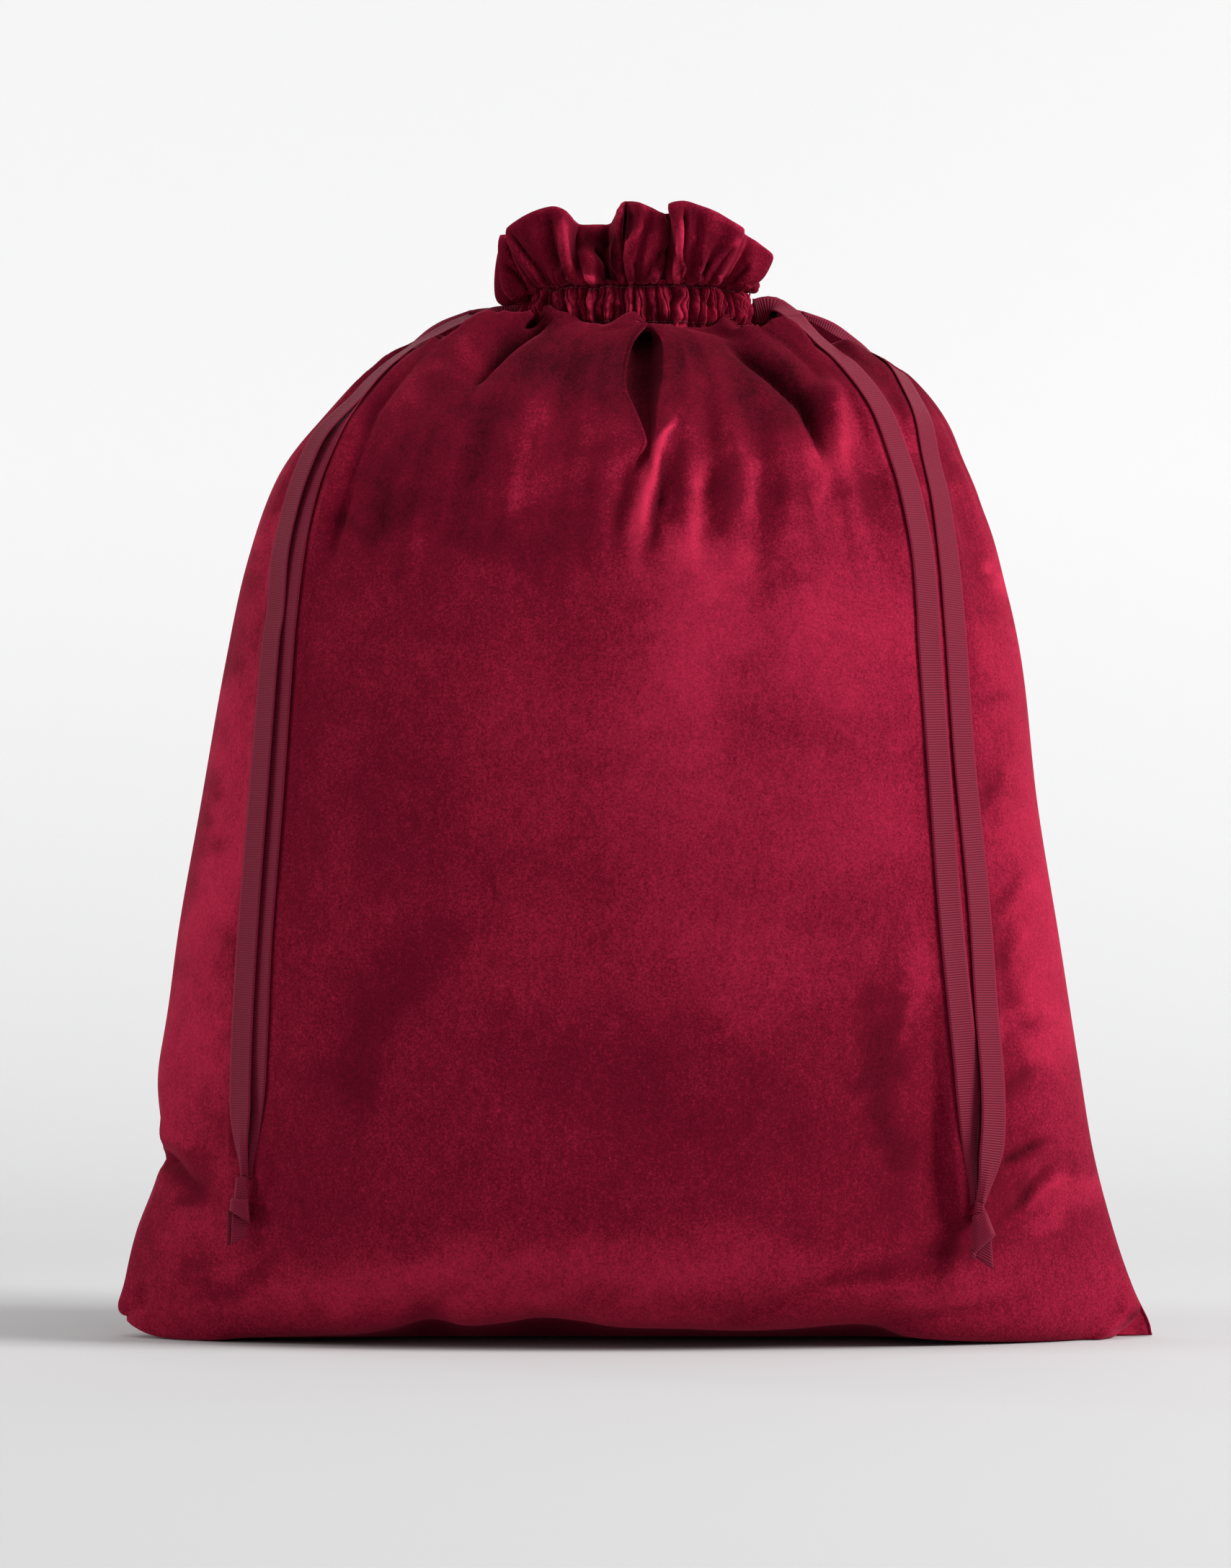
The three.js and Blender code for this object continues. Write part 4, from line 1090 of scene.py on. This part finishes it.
# The frill's folds, in order from the left seam to the right one: the share of the way along the neck,
# how far the cloth stands out where it leaves the casing, then x, y, z half-way up and at the top edge.
FRONT_FRILL = [
    (0.00, -2, -67, -1, 624, -70, -1, 638), (0.05, 2, -81, -9, 603.5, -79, -9, 635),
    (0.09, -2, -69, -14, 607, -71, -16, 640), (0.125, 2, -76, -20, 607.5, -79.5, -20, 641),
    (0.155, -2, -63, -22, 614, -68, -27, 643), (0.19, 2, -68, -33, 622, -76, -36, 645),
    (0.225, 0, -57, -38, 628, -64, -46, 653.5), (0.26, 1, -48, -42, 630, -50, -53, 658),
    (0.30, 2.5, -43, -43.5, 628, -41.5, -53, 655.5), (0.325, -1, -38, -36, 630, -36.5, -42, 650),
    (0.35, -2, -35, -30, 633, -33, -32, 647.5), (0.385, 3, -28, -42, 620, -25, -30, 647.3),
    (0.415, -4, -19, -25, 631, -17, -29, 647.5), (0.437, -2, -14, -32, 634, -13.6, -37, 650),
    (0.452, 1, -11, -43, 634, -9.8, -49, 658.5), (0.464, -3, -9, -33, 636, -6.5, -42, 660.8),
    (0.482, 2.5, -4, -47, 633, 0.5, -53, 660.5), (0.51, -1, 3, -43, 630, 8, -51, 657.5),
    (0.54, 3, 10.5, -47, 624, 14, -51, 654.5), (0.565, -3, 17, -37, 632, 17.6, -43, 653.6),
    (0.58, -3, 20, -36, 634, 21, -41, 655), (0.60, 3, 25, -50, 630, 18.8, -56, 659.5),
    (0.62, 0, 29, -47, 632, 27, -56, 661.3), (0.645, -2, 33, -42, 630, 36, -54, 658.8),
    (0.67, 2.5, 37, -45, 624, 45, -52, 655.5), (0.70, -2, 42, -38, 626, 53, -48, 651),
    (0.735, 2, 49, -40, 622, 61.5, -43, 645.5), (0.77, -4, 55, -28, 623, 62.5, -34, 642),
    (0.80, 3, 64, -29, 616, 70, -29, 637), (0.84, 1, 70, -23, 614, 79, -23, 629.5),
    (0.88, -2, 65, -14, 613, 71, -12, 630), (0.93, 2, 70, -7, 616, 72, -6, 634),
    (1.00, -2, 66, -1, 620, 66, -1, 636),
]
BACK_FRILL = [
    (0.00, -2, -67, 1, 624, -70, 1, 638), (0.06, 2, -76, 12, 622, -78, 10, 640),
    (0.10, -2, -62, 14, 627, -66, 17, 645), (0.15, 2, -68, 28, 622, -72, 31, 648),
    (0.20, -2, -50, 26, 628, -53, 33, 650), (0.26, 2.5, -50, 40, 622, -52, 47, 652),
    (0.32, -2, -34, 33, 628, -35, 38, 646), (0.37, 2.5, -30, 44, 622, -28, 49, 647),
    (0.43, -2, -14, 35, 628, -14, 41, 645), (0.48, 2.5, -5, 46, 623, -4, 52, 653),
    (0.53, -2, 6, 35, 628, 8, 42, 650), (0.58, 2.5, 18, 46, 622, 18, 52, 654),
    (0.64, -2, 27, 34, 628, 29, 40, 650), (0.70, 2.5, 40, 41, 622, 42, 47, 652),
    (0.76, -2, 46, 27, 627, 50, 33, 645), (0.82, 2.5, 60, 29, 618, 64, 32, 641),
    (0.88, -2, 59, 14, 622, 63, 17, 638), (0.94, 2, 70, 11, 616, 73, 10, 634),
    (1.00, -2, 66, 1, 620, 66, 1, 636),
]
FRILL_THICK = 2.2
FRILL_ROWS = 34
FRILL_STEPS = 13  # columns from one fold to the next
FRILL_INSET = 3  # where the frill leaves the casing, in from the neck's line
# Creases (below zero) and ridges on the frill's front, as the camera sees them: points, height, width, and
# nap, the painted shade along each crease and painted highlight along each ridge
FRILL_LINES = [
    ([(-74.6, 643.8), (-66.3, 632.3), (-57.6, 621.4), (-49.7, 608.4)], -3.2, 1.4, -0.38),
    ([(-76.3, 643.1), (-68.1, 630.8), (-59.8, 620), (-52.2, 608)], 1.2, 0.9, 0.26),
    ([(-77, 636.6), (-69.9, 624.3), (-62.7, 614.2), (-56.2, 607)], -3.0, 1.4, -0.38),
    ([(-78.5, 635.9), (-71.4, 622.9), (-64.1, 613.1), (-58, 606.2)], 1.2, 0.9, 0.26),
    ([(-78.2, 623.6), (-72.1, 620.7), (-65.6, 612.7), (-62, 605.5)], -2.4, 1.4, -0.34),
    ([(-50.4, 656.8), (-50.4, 646.7), (-48.2, 632.3), (-44.6, 620), (-41.7, 610.6)], -2.4, 3.0, -0.26),
    ([(-43.9, 654), (-43.5, 640.9), (-42.1, 627.2), (-38.1, 618.5), (-31.6, 611.7)], 1.7, 1.7, 0.26),
    ([(-60, 650), (-57, 636), (-50, 621), (-46, 611)], 0.8, 2.6, 0.08),
    ([(-35.2, 621.4), (-30.9, 615.6), (-25.1, 614.9)], 0.8, 2.2, 0.28),
    ([(-34.5, 630.8), (-26.6, 627.2), (-20, 620)], 1.4, 3.4, 0.10),
    ([(-25.8, 634.4), (-20, 627.2), (-17.5, 620), (-16.1, 610)], -3.8, 1.6, -0.38),
    ([(-33, 641), (-23.7, 637.3), (-15, 635)], -1.8, 4.6, -0.18),
    ([(-6.7, 659), (-8.1, 646.7), (-10.3, 632.3), (-11.7, 612)], -6.0, 1.6, -0.60),
    ([(-2.7, 656), (-3.4, 646.7), (-7, 637.3)], -2.0, 2.8, -0.28),
    ([(1.6, 652.5), (1.3, 646), (-4.9, 635.9), (-8.1, 624.3), (-8.8, 612)], 1.5, 1.3, 0.24),
    ([(-8.8, 658.3), (-11.7, 648.9), (-12.8, 640.9)], 1.0, 1.4, 0.28),
    ([(-1.6, 627.2), (-0.9, 621.4), (-0.5, 611)], -2.4, 1.3, -0.28),
    ([(19, 635.9), (11.8, 628.6), (7.4, 621.4), (5.3, 611)], -2.6, 1.9, -0.30),
    ([(18.3, 633.7), (14.7, 627.2), (11.8, 620)], -1.0, 3.0, -0.18),
    ([(9, 645), (7.2, 631), (4, 617)], 0.8, 2.0, 0.12),
    ([(25.5, 654), (25.4, 635.9), (23.7, 624.3), (22.6, 611)], 1.8, 1.2, 0.38),
    ([(21.9, 651.8), (20.4, 635.9), (19.7, 624.3), (19, 613)], 0.8, 1.1, 0.18),
    ([(27.6, 657), (27.6, 643.1), (27.2, 630.1), (26.2, 614)], -4.4, 1.4, -0.44),
    ([(17, 656.8), (17.9, 649)], -2.4, 1.3, -0.30),
    ([(32, 645), (34, 633), (31, 620), (29, 612)], 0.9, 2.2, 0.14),
    ([(43, 627), (38, 618), (33, 609)], -3.0, 1.6, -0.34),
    ([(62, 641), (49, 628), (41, 616), (38, 610)], 1.3, 1.8, 0.26),
    ([(57, 636), (50, 627), (45, 618), (41, 609)], -3.2, 1.6, -0.38),
    ([(44, 645), (40, 632), (36, 622)], -1.2, 2.8, -0.12),
    ([(64, 641), (58, 630), (50, 617), (46, 609)], 1.0, 1.6, 0.20),
    ([(66, 624), (58, 616), (52, 608)], -2.2, 1.6, -0.28),
]


def from_seen(x, y, z):
    """The point at depth y that the camera sees at x, z on the plane through the sack's middle."""
    share = (CAMERA_DISTANCE + y) / CAMERA_DISTANCE
    return CAMERA_X + (x - CAMERA_X) * share, CAMERA_HEIGHT + (z - CAMERA_HEIGHT) * share


def frill_columns(side, listed):
    """The listed folds with smooth columns between them. The front's places are as the camera sees them."""
    listed = np.array(listed, float)
    if side < 0:
        for k in (2, 5):
            listed[:, k], listed[:, k + 2] = from_seen(listed[:, k], listed[:, k + 1], listed[:, k + 2])
    count = (len(listed) - 1) * FRILL_STEPS + 1
    return curve_through(listed, np.linspace(0, len(listed) - 1, count))


def frill_surface(side, columns, up):
    """The middle of the frill: each column rises in a bow from the casing through its middle to its top."""
    turn, base_out = columns[:, 0], columns[:, 1]
    outward, level = neck_ring(turn, side, base_out - FRILL_INSET)
    base = np.concatenate([level, np.full((len(columns), 1), CASING_TOP + 0.2)], 1)
    middle, top = columns[:, 2:5], columns[:, 5:8]
    control = 2 * middle - 0.5 * (base + top)
    rise = up[..., None]
    points = (1 - rise) ** 2 * base + 2 * rise * (1 - rise) * control + rise**2 * top
    belly = 3.4 * np.sin(math.pi * np.clip(up / 0.36, 0, 1)) * (0.5 + base_out / 5)
    points[..., :2] += outward * belly[..., None]
    share = np.linspace(0, 1, len(columns))
    gathers = np.abs(np.sin(math.pi * (GATHERS * turn + 0.8 * noise(turn * 30, 0.5, 2)))) ** 0.6
    small = 0.8 * layered_noise(share * 40, up * 3.0, 5, 2)
    small = small + 2.0 * (gathers - 0.6) * (1 - smoothstep(up, 0.05, 0.42))
    return points + outward_normals(points, side) * small[..., None]


def crease_frill(points):
    """Presses the listed creases into the front's folds, and gives their painted shade and highlights."""
    normals = outward_normals(points, -1)
    x, z = seen_plane(points)
    facing = smoothstep(-normals[..., 1], 0.05, 0.5)
    relief, painted_crease_light = np.zeros_like(x), np.zeros_like(x)
    for line, tall, width, nap_and_painted_light in FRILL_LINES:
        relief += ridge(x, z, line, tall, width, 0.2, 0.12)
        painted_crease_light += 1.3 * ridge(x, z, line, nap_and_painted_light, width * 1.1, 0.2, 0.12)
    return points + normals * (relief * facing)[..., None], painted_crease_light * facing


def make_frill(name, side, listed):
    """Half of the frill above the casing, as a thick sheet with a rounded upper edge."""
    columns = frill_columns(side, listed)
    up = np.linspace(0, 1, FRILL_ROWS)[:, None]
    points = frill_surface(side, columns, up)
    painted_crease_light = 0
    normals = outward_normals(points, side)
    if side < 0:
        points, painted_crease_light = crease_frill(points)
        normals = outward_normals(points, side)
    rounding = np.sqrt(np.clip(1 - np.clip((up - 0.93) / 0.07, 0, 1) ** 2, 0.02, 1))
    half = FRILL_THICK / 2 * rounding * (0.45 + 0.55 * smoothstep(up, 0, 0.15))
    # painted shade on folds that stand in and painted highlight on those that stand out
    folds = 0.03 * columns[:, 1] * (1 - 0.55 * up)
    mottle = 0.14 * layered_noise(np.linspace(0, 1, len(columns)) * 22, up * 2.5, 6, 3)
    # the top edge is lightened as a painted highlight
    nap_and_painted_light = NAP_MIDDLE - 0.08 + mottle + folds + painted_crease_light + 0.16 * smoothstep(up, 0.92, 1)
    outer, inner = points + normals * half[..., None], points - normals * half[..., None]
    return shell_object(name, outer, inner, velvet, side > 0, {"nap_and_painted_light": nap_and_painted_light})


casings = {}
for half, side in HALVES:
    pieces[f"{half}_casing"], casings[half] = make_casing(f"neck_casing_{half}", side)
for half, side in HALVES:
    pieces[f"{half}_facing"] = make_facing(f"neck_facing_{half}", side)
pieces["front_frill"] = make_frill("frill_front", -1, FRONT_FRILL)
pieces["back_frill"] = make_frill("frill_back", 1, BACK_FRILL)

# ---- Stitching ----

THREAD_SIDES = 6
THREAD_RINGS = [(0.0, 0.45), (0.18, 1.0), (0.82, 1.0), (1.0, 0.45)]  # share of the length, of the radius


def thread_bars(name, segments, radius):
    """One mesh of short rounded bars of thread, one for each (start, end)."""
    points, faces = [], []
    around = np.arange(THREAD_SIDES)[:, None] * 2 * math.pi / THREAD_SIDES
    for start, end in segments:
        start, end = np.array(start, float), np.array(end, float)
        axis = unit(end - start)
        helper = np.array([0, 0, 1.0]) if abs(axis[2]) < 0.8 else np.array([1.0, 0, 0])
        u = unit(np.cross(axis, helper))
        v = np.cross(axis, u)
        offset = len(points)
        for share, size in THREAD_RINGS:
            ring = start + (end - start) * share + radius * size * (np.cos(around) * u + np.sin(around) * v)
            points += ring.tolist()
        last = len(points) - THREAD_SIDES
        faces += grid_faces(len(THREAD_RINGS), THREAD_SIDES, offset, False, True)
        faces.append([offset + k for k in reversed(range(THREAD_SIDES))])
        faces.append([last + k for k in range(THREAD_SIDES)])
    return make_object(name, points, faces, thread)


STITCH_START, STITCH_PITCH, STITCH = 0.4, 3.0, 2.2
STITCH_RADIUS = 0.32
STITCH_OUT = 0.25  # how far the stitches stand out from the cloth
BARTACK_BARS, BARTACK_PITCH = 9, 0.9
BARTACK_HALF = 4  # half the length of its long bars
BARTACK_RADIUS = 0.45


def stitch_line(name, casing_points, z):
    """Stitches laid along the casing, following its gathers."""
    row = int(np.argmin(np.abs(casing_points[:, casing_points.shape[1] // 2, 2] - z)))
    line = casing_points[row].copy()
    level = np.array([1 / NECK_HALF_WIDTH**2, 1 / NECK_HALF_DEPTH**2, 0])
    line = line + unit(line * level) * STITCH_OUT
    length = length_along(line)
    starts = STITCH_START + STITCH_PITCH * np.arange(int(length[-1] / STITCH_PITCH))
    segments = []
    for places in zip(starts, starts + STITCH):
        segments.append([np.array([np.interp(p, length, line[:, k]) for k in range(3)]) for p in places])
    return thread_bars(name, segments, STITCH_RADIUS)


def bartack(name, x, z):
    """A close row of thread bars across a slit, between two long ones."""
    bars = []
    for k in range(BARTACK_BARS):
        y = (k - (BARTACK_BARS - 1) / 2) * BARTACK_PITCH
        bars.append(((x, y, z - 1.1), (x, y + 0.35, z + 1.1)))
    for level in (z + 0.9, z - 0.9):
        bars.append(((x, -BARTACK_HALF, level), (x, BARTACK_HALF, level)))
    return thread_bars(name, bars, BARTACK_RADIUS)


for half, casing_points in casings.items():
    for level, z in (("upper", CASING_TOP - 2.5), ("lower", CASING_BOTTOM + 3)):
        pieces[f"{half}_{level}_stitching"] = stitch_line(f"stitches_{half}_{level}", casing_points, z)

for hand, direction in HANDS:
    for level, z in (("upper", CASING_TOP - 2), ("lower", CASING_BOTTOM + 2.5)):
        x = direction * (NECK_HALF_WIDTH - 0.4)
        pieces[f"{hand}_exit_{level}_bartack"] = bartack(f"bartack_{hand}_{level}", x, z)

# ---- Seam turnings inside the sack ----

TURNING_WIDTH = 9
TURNING_ROWS = 6
TURNING_HALF = 0.9  # half its thickness
SIDE_RINGS = (4.2, 11.8)  # the rings between which the side turnings stand
SIDE_INSET = 4.0
BOTTOM_HALF, BOTTOM_HEIGHT, BOTTOM_POINTS = 215, 2.6, 120  # of the bottom turning's line


def seam_turning(name, line, inward):
    """The turned-in edge of a seam: a thin double strip that stands in from a line of points."""
    line = np.array(line, float)
    inward = np.array(inward, float)
    wide = np.linspace(0, 1, TURNING_ROWS)[:, None, None]
    wobble = 1.2 * noise(np.arange(len(line)) / 7, 0, 3)
    sway = np.cross(unit(np.gradient(line, axis=0)), inward)
    middle = line + wide * TURNING_WIDTH * inward + sway * wobble[:, None] * wide
    outer, inner = middle + sway * TURNING_HALF, middle - sway * TURNING_HALF
    nap_and_painted_light = np.full(outer.shape[:2], 0.45)
    return shell_object(name, outer, inner, velvet_back, True, {"nap_and_painted_light": nap_and_painted_light})


def side_line(column):
    """The stretch of one of the front panel's outer columns that a turning stands along."""
    rows = ring_rows()
    return outsides["front"][(rows > SIDE_RINGS[0]) & (rows < SIDE_RINGS[1]), column]


left_line, right_line = side_line(0) + [SIDE_INSET, 0, 0], side_line(-1) - [SIDE_INSET, 0, 0]
bottom_line = [(x, 0, BOTTOM_HEIGHT) for x in np.linspace(-BOTTOM_HALF, BOTTOM_HALF, BOTTOM_POINTS)]
pieces["left_side_seam"] = seam_turning("seam_left", left_line, (1, 0, 0))
pieces["right_side_seam"] = seam_turning("seam_right", right_line, (-1, 0, 0))
pieces["bottom_seam"] = seam_turning("seam_bottom", bottom_line, (0, 0, 1))

# ---- The ribbons ----

RIBBON_ACROSS = 9
RIBBON_STEP = 2.5
BUNCH_DEPTH = 2.6  # how deep a ribbon curls where it is bunched into its knot


def ribbon_object(name, route, narrow_from=None, narrow_to=1.0, exit_width=1.0, cup=0.0):
    """A flat woven ribbon along a route, as a closed thin strip."""
    path, tangent, face, length = dense_route(route, RIBBON_STEP)
    wide = unit(np.cross(tangent, face))
    share = np.linspace(0, 1, len(path))
    bunch = np.zeros(len(path))
    if narrow_from is not None:
        bunch = smoothstep(share * length, length - narrow_from, length)
    width = RIBBON_WIDTH / 2 * (1 - (1 - narrow_to) * bunch)
    width = width * (exit_width + (1 - exit_width) * smoothstep(share, 0.2, 1))
    u = np.linspace(-1, 1, RIBBON_ACROSS)
    points = path[:, None] + wide[:, None] * (u[:, None] * width[:, None, None])
    curl = cup * (u**2 - 0.4) - BUNCH_DEPTH * bunch[:, None] * (np.abs(u) - 0.4)
    points = points + face[:, None] * curl[..., None]
    outer = points + face[:, None] * (RIBBON_THICK / 2)
    inner = points - face[:, None] * (RIBBON_THICK / 2)
    along, across = np.meshgrid(share * length, u, indexing="ij")
    piece = shell_object(name, outer, inner, grosgrain, True, {"along": along, "across": across})
    return piece, path, length


ribbons = {}
for name, route, options in (
    ("left_front_lead", LEFT_FRONT_LEAD + LEFT_OUTER_TAIL[:1], {"exit_width": 0.5}),
    ("left_back_lead", LEFT_BACK_LEAD + LEFT_INNER_TAIL[:1], {"exit_width": 0.5}),
    ("left_outer_tail", LEFT_OUTER_TAIL, {"narrow_from": 44, "narrow_to": 0.34, "cup": 0.3}),
    ("left_inner_tail", LEFT_INNER_TAIL, {"narrow_from": 60, "narrow_to": 0.30, "cup": 0.3}),
    ("right_front_lead", RIGHT_FRONT_LEAD + RIGHT_INNER_TAIL[:1], {}),
    ("right_back_lead", RIGHT_BACK_LEAD + RIGHT_OUTER_TAIL[:1], {"exit_width": 0.7}),
    ("right_inner_tail", RIGHT_INNER_TAIL, {"narrow_from": 70, "narrow_to": 0.30, "cup": 0.3}),
    ("right_outer_tail", RIGHT_OUTER_TAIL, {"narrow_from": 34, "narrow_to": 0.40, "cup": 0.3}),
):
    ribbons[name] = ribbon_object("ribbon_" + name, route, **options)


FACET_CELLS = 10


def facet_sides(corners, thick, swell, u, v):
    """The middle of one thick facet, and its outside and inside."""
    corners = np.array(corners, float)
    top = corners[0] + (corners[1] - corners[0]) * u[..., None]
    bottom = corners[3] + (corners[2] - corners[3]) * u[..., None]
    flat = top + (bottom - top) * v[..., None]
    normal = unit(np.cross(corners[3] - corners[0], corners[1] - corners[0]))
    normal = normal * (-1 if normal[1] > 0 else 1)
    crown = np.sqrt((1 - (2 * u - 1) ** 4) * (1 - (2 * v - 1) ** 4))
    outer = flat + normal * (thick / 2 + swell * crown)[..., None]
    inner = flat - normal * (thick / 2 + 0.6 * swell * crown)[..., None]
    return flat, outer, inner


def folded_ribbon(name, facets):
    """Ribbon folded flat: for each (corners, thickness, swell, rib angle), one thick facet between corners
    given as x, y, z clockwise from the top left."""
    side = FACET_CELLS + 1
    u, v = np.meshgrid(np.linspace(0, 1, side), np.linspace(0, 1, side))
    shell = grid_faces(side, side, 0, True) + grid_faces(side, side, side**2, False)
    shell += border_faces(side, side, side**2, False)
    points, faces, along, across = [], [], [], []
    for corners, thick, swell, angle in facets:
        flat, outer, inner = facet_sides(corners, thick, swell, u, v)
        faces += [[corner + len(points) for corner in face] for face in shell]
        points += outer.reshape(-1, 3).tolist() + inner.reshape(-1, 3).tolist()
        length = flat[..., 2] * math.cos(angle) + flat[..., 0] * math.sin(angle)
        along += length.ravel().tolist() * 2
        across += (2 * u - 1).ravel().tolist() * 2
    return make_object(name, points, faces, grosgrain, {"along": along, "across": across})


# Each knot is ribbon folded over itself, and each cut end is one more fold of it: corners of each facet,
# thickness, swell, rib angle
KNOT_FACETS = {
    "knot_left": [
        ([(-227.4, -78.5, 96), (-221.4, -78.5, 96), (-220.6, -79, 80), (-229, -79, 80)], 2.0, 1.6, 0.2),
        ([(-230, -80, 84), (-220.6, -80.5, 83.5), (-219.6, -81, 69.5), (-231, -80.5, 76.8)], 2.2, 2.4, -0.6),
        ([(-228.6, -76, 82), (-221, -76, 82), (-221, -76.5, 71), (-229.4, -76.5, 73)], 2.0, 1.8, 0.4),
    ],
    "ribbon_left_front_end": [
        ([(-229.8, -79.4, 75), (-220.4, -79.4, 71), (-222.6, -80, 61.6), (-230.2, -80.2, 57)], 1.0, 0.5, 0.1),
    ],
    "ribbon_left_back_end": [
        ([(-232.6, -77.6, 77), (-229.6, -77.4, 76), (-230.6, -77.8, 58), (-232.8, -78, 56.4)], 1.0, 0.3, 0.1),
    ],
    "knot_right": [
        ([(187.8, -102, 75), (195.6, -102, 77.6), (200.9, -102.4, 64.1), (187.4, -102.4, 52)], 2.6, 3, -0.75),
        ([(188.6, -97, 76), (194.8, -97, 76), (198.5, -97.4, 63), (189, -97.4, 56)], 2.4, 2.4, 0.5),
        ([(189.6, -100, 84), (193.8, -100, 84), (195.4, -101, 75), (189, -101, 75)], 1.6, 1.2, 0.2),
        ([(186.6, -103, 56), (190.2, -103, 57), (189.6, -103, 50.4), (186.4, -103, 50.8)], 1.6, 1.2, 0.9),
    ],
    "ribbon_right_front_end": [
        ([(190.2, -100.6, 57), (198.6, -100.6, 62), (199.8, -101.2, 44.6), (189, -101, 52)], 1.0, 0.4, 0.5),
    ],
    "ribbon_right_back_end": [
        ([(189.6, -98.4, 60), (196, -98.4, 60), (195, -99, 48), (190.6, -99, 51)], 1.0, 0.4, 0.1),
    ],
}
folded = {name: folded_ribbon(name, facets) for name, facets in KNOT_FACETS.items()}

# ---- Bodies and replaced nodes ----

for node, piece in pieces.items():
    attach(piece, "sack")
    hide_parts(node)

# The leads and tails are baked where they lie and their parts hidden; the cut ends and knots ride their
# hand's tails
for hand, direction in HANDS:
    drawstring, tails = f"{hand}_drawstring", f"{hand}_tails"
    for lead in (f"{hand}_front_lead", f"{hand}_back_lead"):
        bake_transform(ribbons[lead][0])
        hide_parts(lead)
    for tail in (f"{hand}_outer_tail", f"{hand}_inner_tail"):
        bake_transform(ribbons[tail][0])
        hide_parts(tail)
    for end in (f"{hand}_front_end", f"{hand}_back_end"):
        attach(folded[f"ribbon_{end}"], tails)
        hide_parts(end)
    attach(folded[f"knot_{hand}"], tails)
    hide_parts(f"{hand}_knot")

for tail, lead, end, knots in (
    ("left_outer_tail", "left_front_lead", "left_front_end", ["knot_left"]),
    ("left_inner_tail", "left_back_lead", "left_back_end", []),
    ("right_inner_tail", "right_front_lead", "right_front_end", ["knot_right"]),
    ("right_outer_tail", "right_back_lead", "right_back_end", []),
):
    piece, path, length = ribbons[tail]

for node in ("left_ribbon_run", "right_ribbon_run"):
    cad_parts[node].data.materials.clear()
    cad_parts[node].data.materials.append(grosgrain)

# ---- Floor, backdrop and light ----

FLOOR_FRONT, FLOOR_BACK = -6.0, 5.0  # the sheet's ends, in metres
BEND_RADIUS = 3.4
BACKDROP_TOP = 6.0
STAGE_HALF = 6.0
BEND_STEPS = 32
STAGE_DROP = 0.0005


def backdrop_material():
    """Pale sheet that lightens on its way back: painted light, darker on the floor in front and lighter on
    the wall behind, for the studio light's fall-off.
    """
    material, tree, shader = new_material("backdrop")
    place = add_node(tree, "ShaderNodeTexCoord").outputs["Object"]
    parts = add_node(tree, "ShaderNodeSeparateXYZ")
    tree.links.new(place, parts.inputs["Vector"])
    painted_light_further_back = ranged(tree, parts.outputs["Y"], 0.8, 3.9)
    colour_by(tree, shader, painted_light_further_back, (0.595, 0.595, 0.60), (0.85, 0.85, 0.85))
    shader.inputs["Roughness"].default_value = 0.9
    shader.inputs["Specular IOR Level"].default_value = 0.1
    return material


def make_stage():
    """One pale sheet: level under the sack, curving up behind it."""
    start = FLOOR_BACK - BEND_RADIUS
    profile = [(FLOOR_FRONT, 0.0), (start, 0.0)]
    for k in range(1, BEND_STEPS + 1):
        angle = k / BEND_STEPS * math.pi / 2
        profile.append((start + BEND_RADIUS * math.sin(angle), BEND_RADIUS - BEND_RADIUS * math.cos(angle)))
    profile.append((FLOOR_BACK, BACKDROP_TOP))
    points = [(x, y, z) for y, z in profile for x in (-STAGE_HALF, STAGE_HALF)]
    faces = [[2 * k, 2 * k + 1, 2 * k + 3, 2 * k + 2] for k in range(len(profile) - 1)]
    mesh = bpy.data.meshes.new("backdrop")
    mesh.from_pydata(points, [], faces)
    mesh.update()
    mesh.shade_smooth()
    obj = bpy.data.objects.new("backdrop", mesh)
    scene.collection.objects.link(obj)
    obj.data.materials.append(backdrop_material())
    obj.location.z = -STAGE_DROP


make_stage()


def area_light(name, place, target, size, power):
    """A white soft light at a place, turned to its target: metres and watts."""
    data = bpy.data.lights.new(name, "AREA")
    data.shape = "RECTANGLE"
    data.size, data.size_y = size
    data.energy = power
    obj = bpy.data.objects.new(name, data)
    obj.location = place
    obj.rotation_euler = Vector(np.subtract(target, place)).to_track_quat("-Z", "Y").to_euler()
    scene.collection.objects.link(obj)


area_light("softbox_right", (4.6, -1.6, 3.02), (0, 0, 0.38), (2.0, 3.0), 390)
area_light("softbox_left", (-4.6, -0.9, 1.4), (0, 0, 0.2), (1.8, 2.4), 104)
area_light("softbox_top", (0.2, -0.5, 2.7), (0, 0, 0.3), (2.2, 1.6), 17)
area_light("backdrop_left", (-2.4, 2.1, 3.1), (-0.4, 4.3, 1.2), (1.8, 0.9), 26)
area_light("backdrop_right", (2.4, 2.1, 3.1), (0.4, 4.3, 1.2), (1.8, 0.9), 12)

WORLD_STRENGTH = 0.26

world = bpy.data.worlds.new("world")
world.use_nodes = True
world.node_tree.nodes["Background"].inputs["Color"].default_value = (1, 1, 1, 1)
world.node_tree.nodes["Background"].inputs["Strength"].default_value = WORLD_STRENGTH
scene.world = world
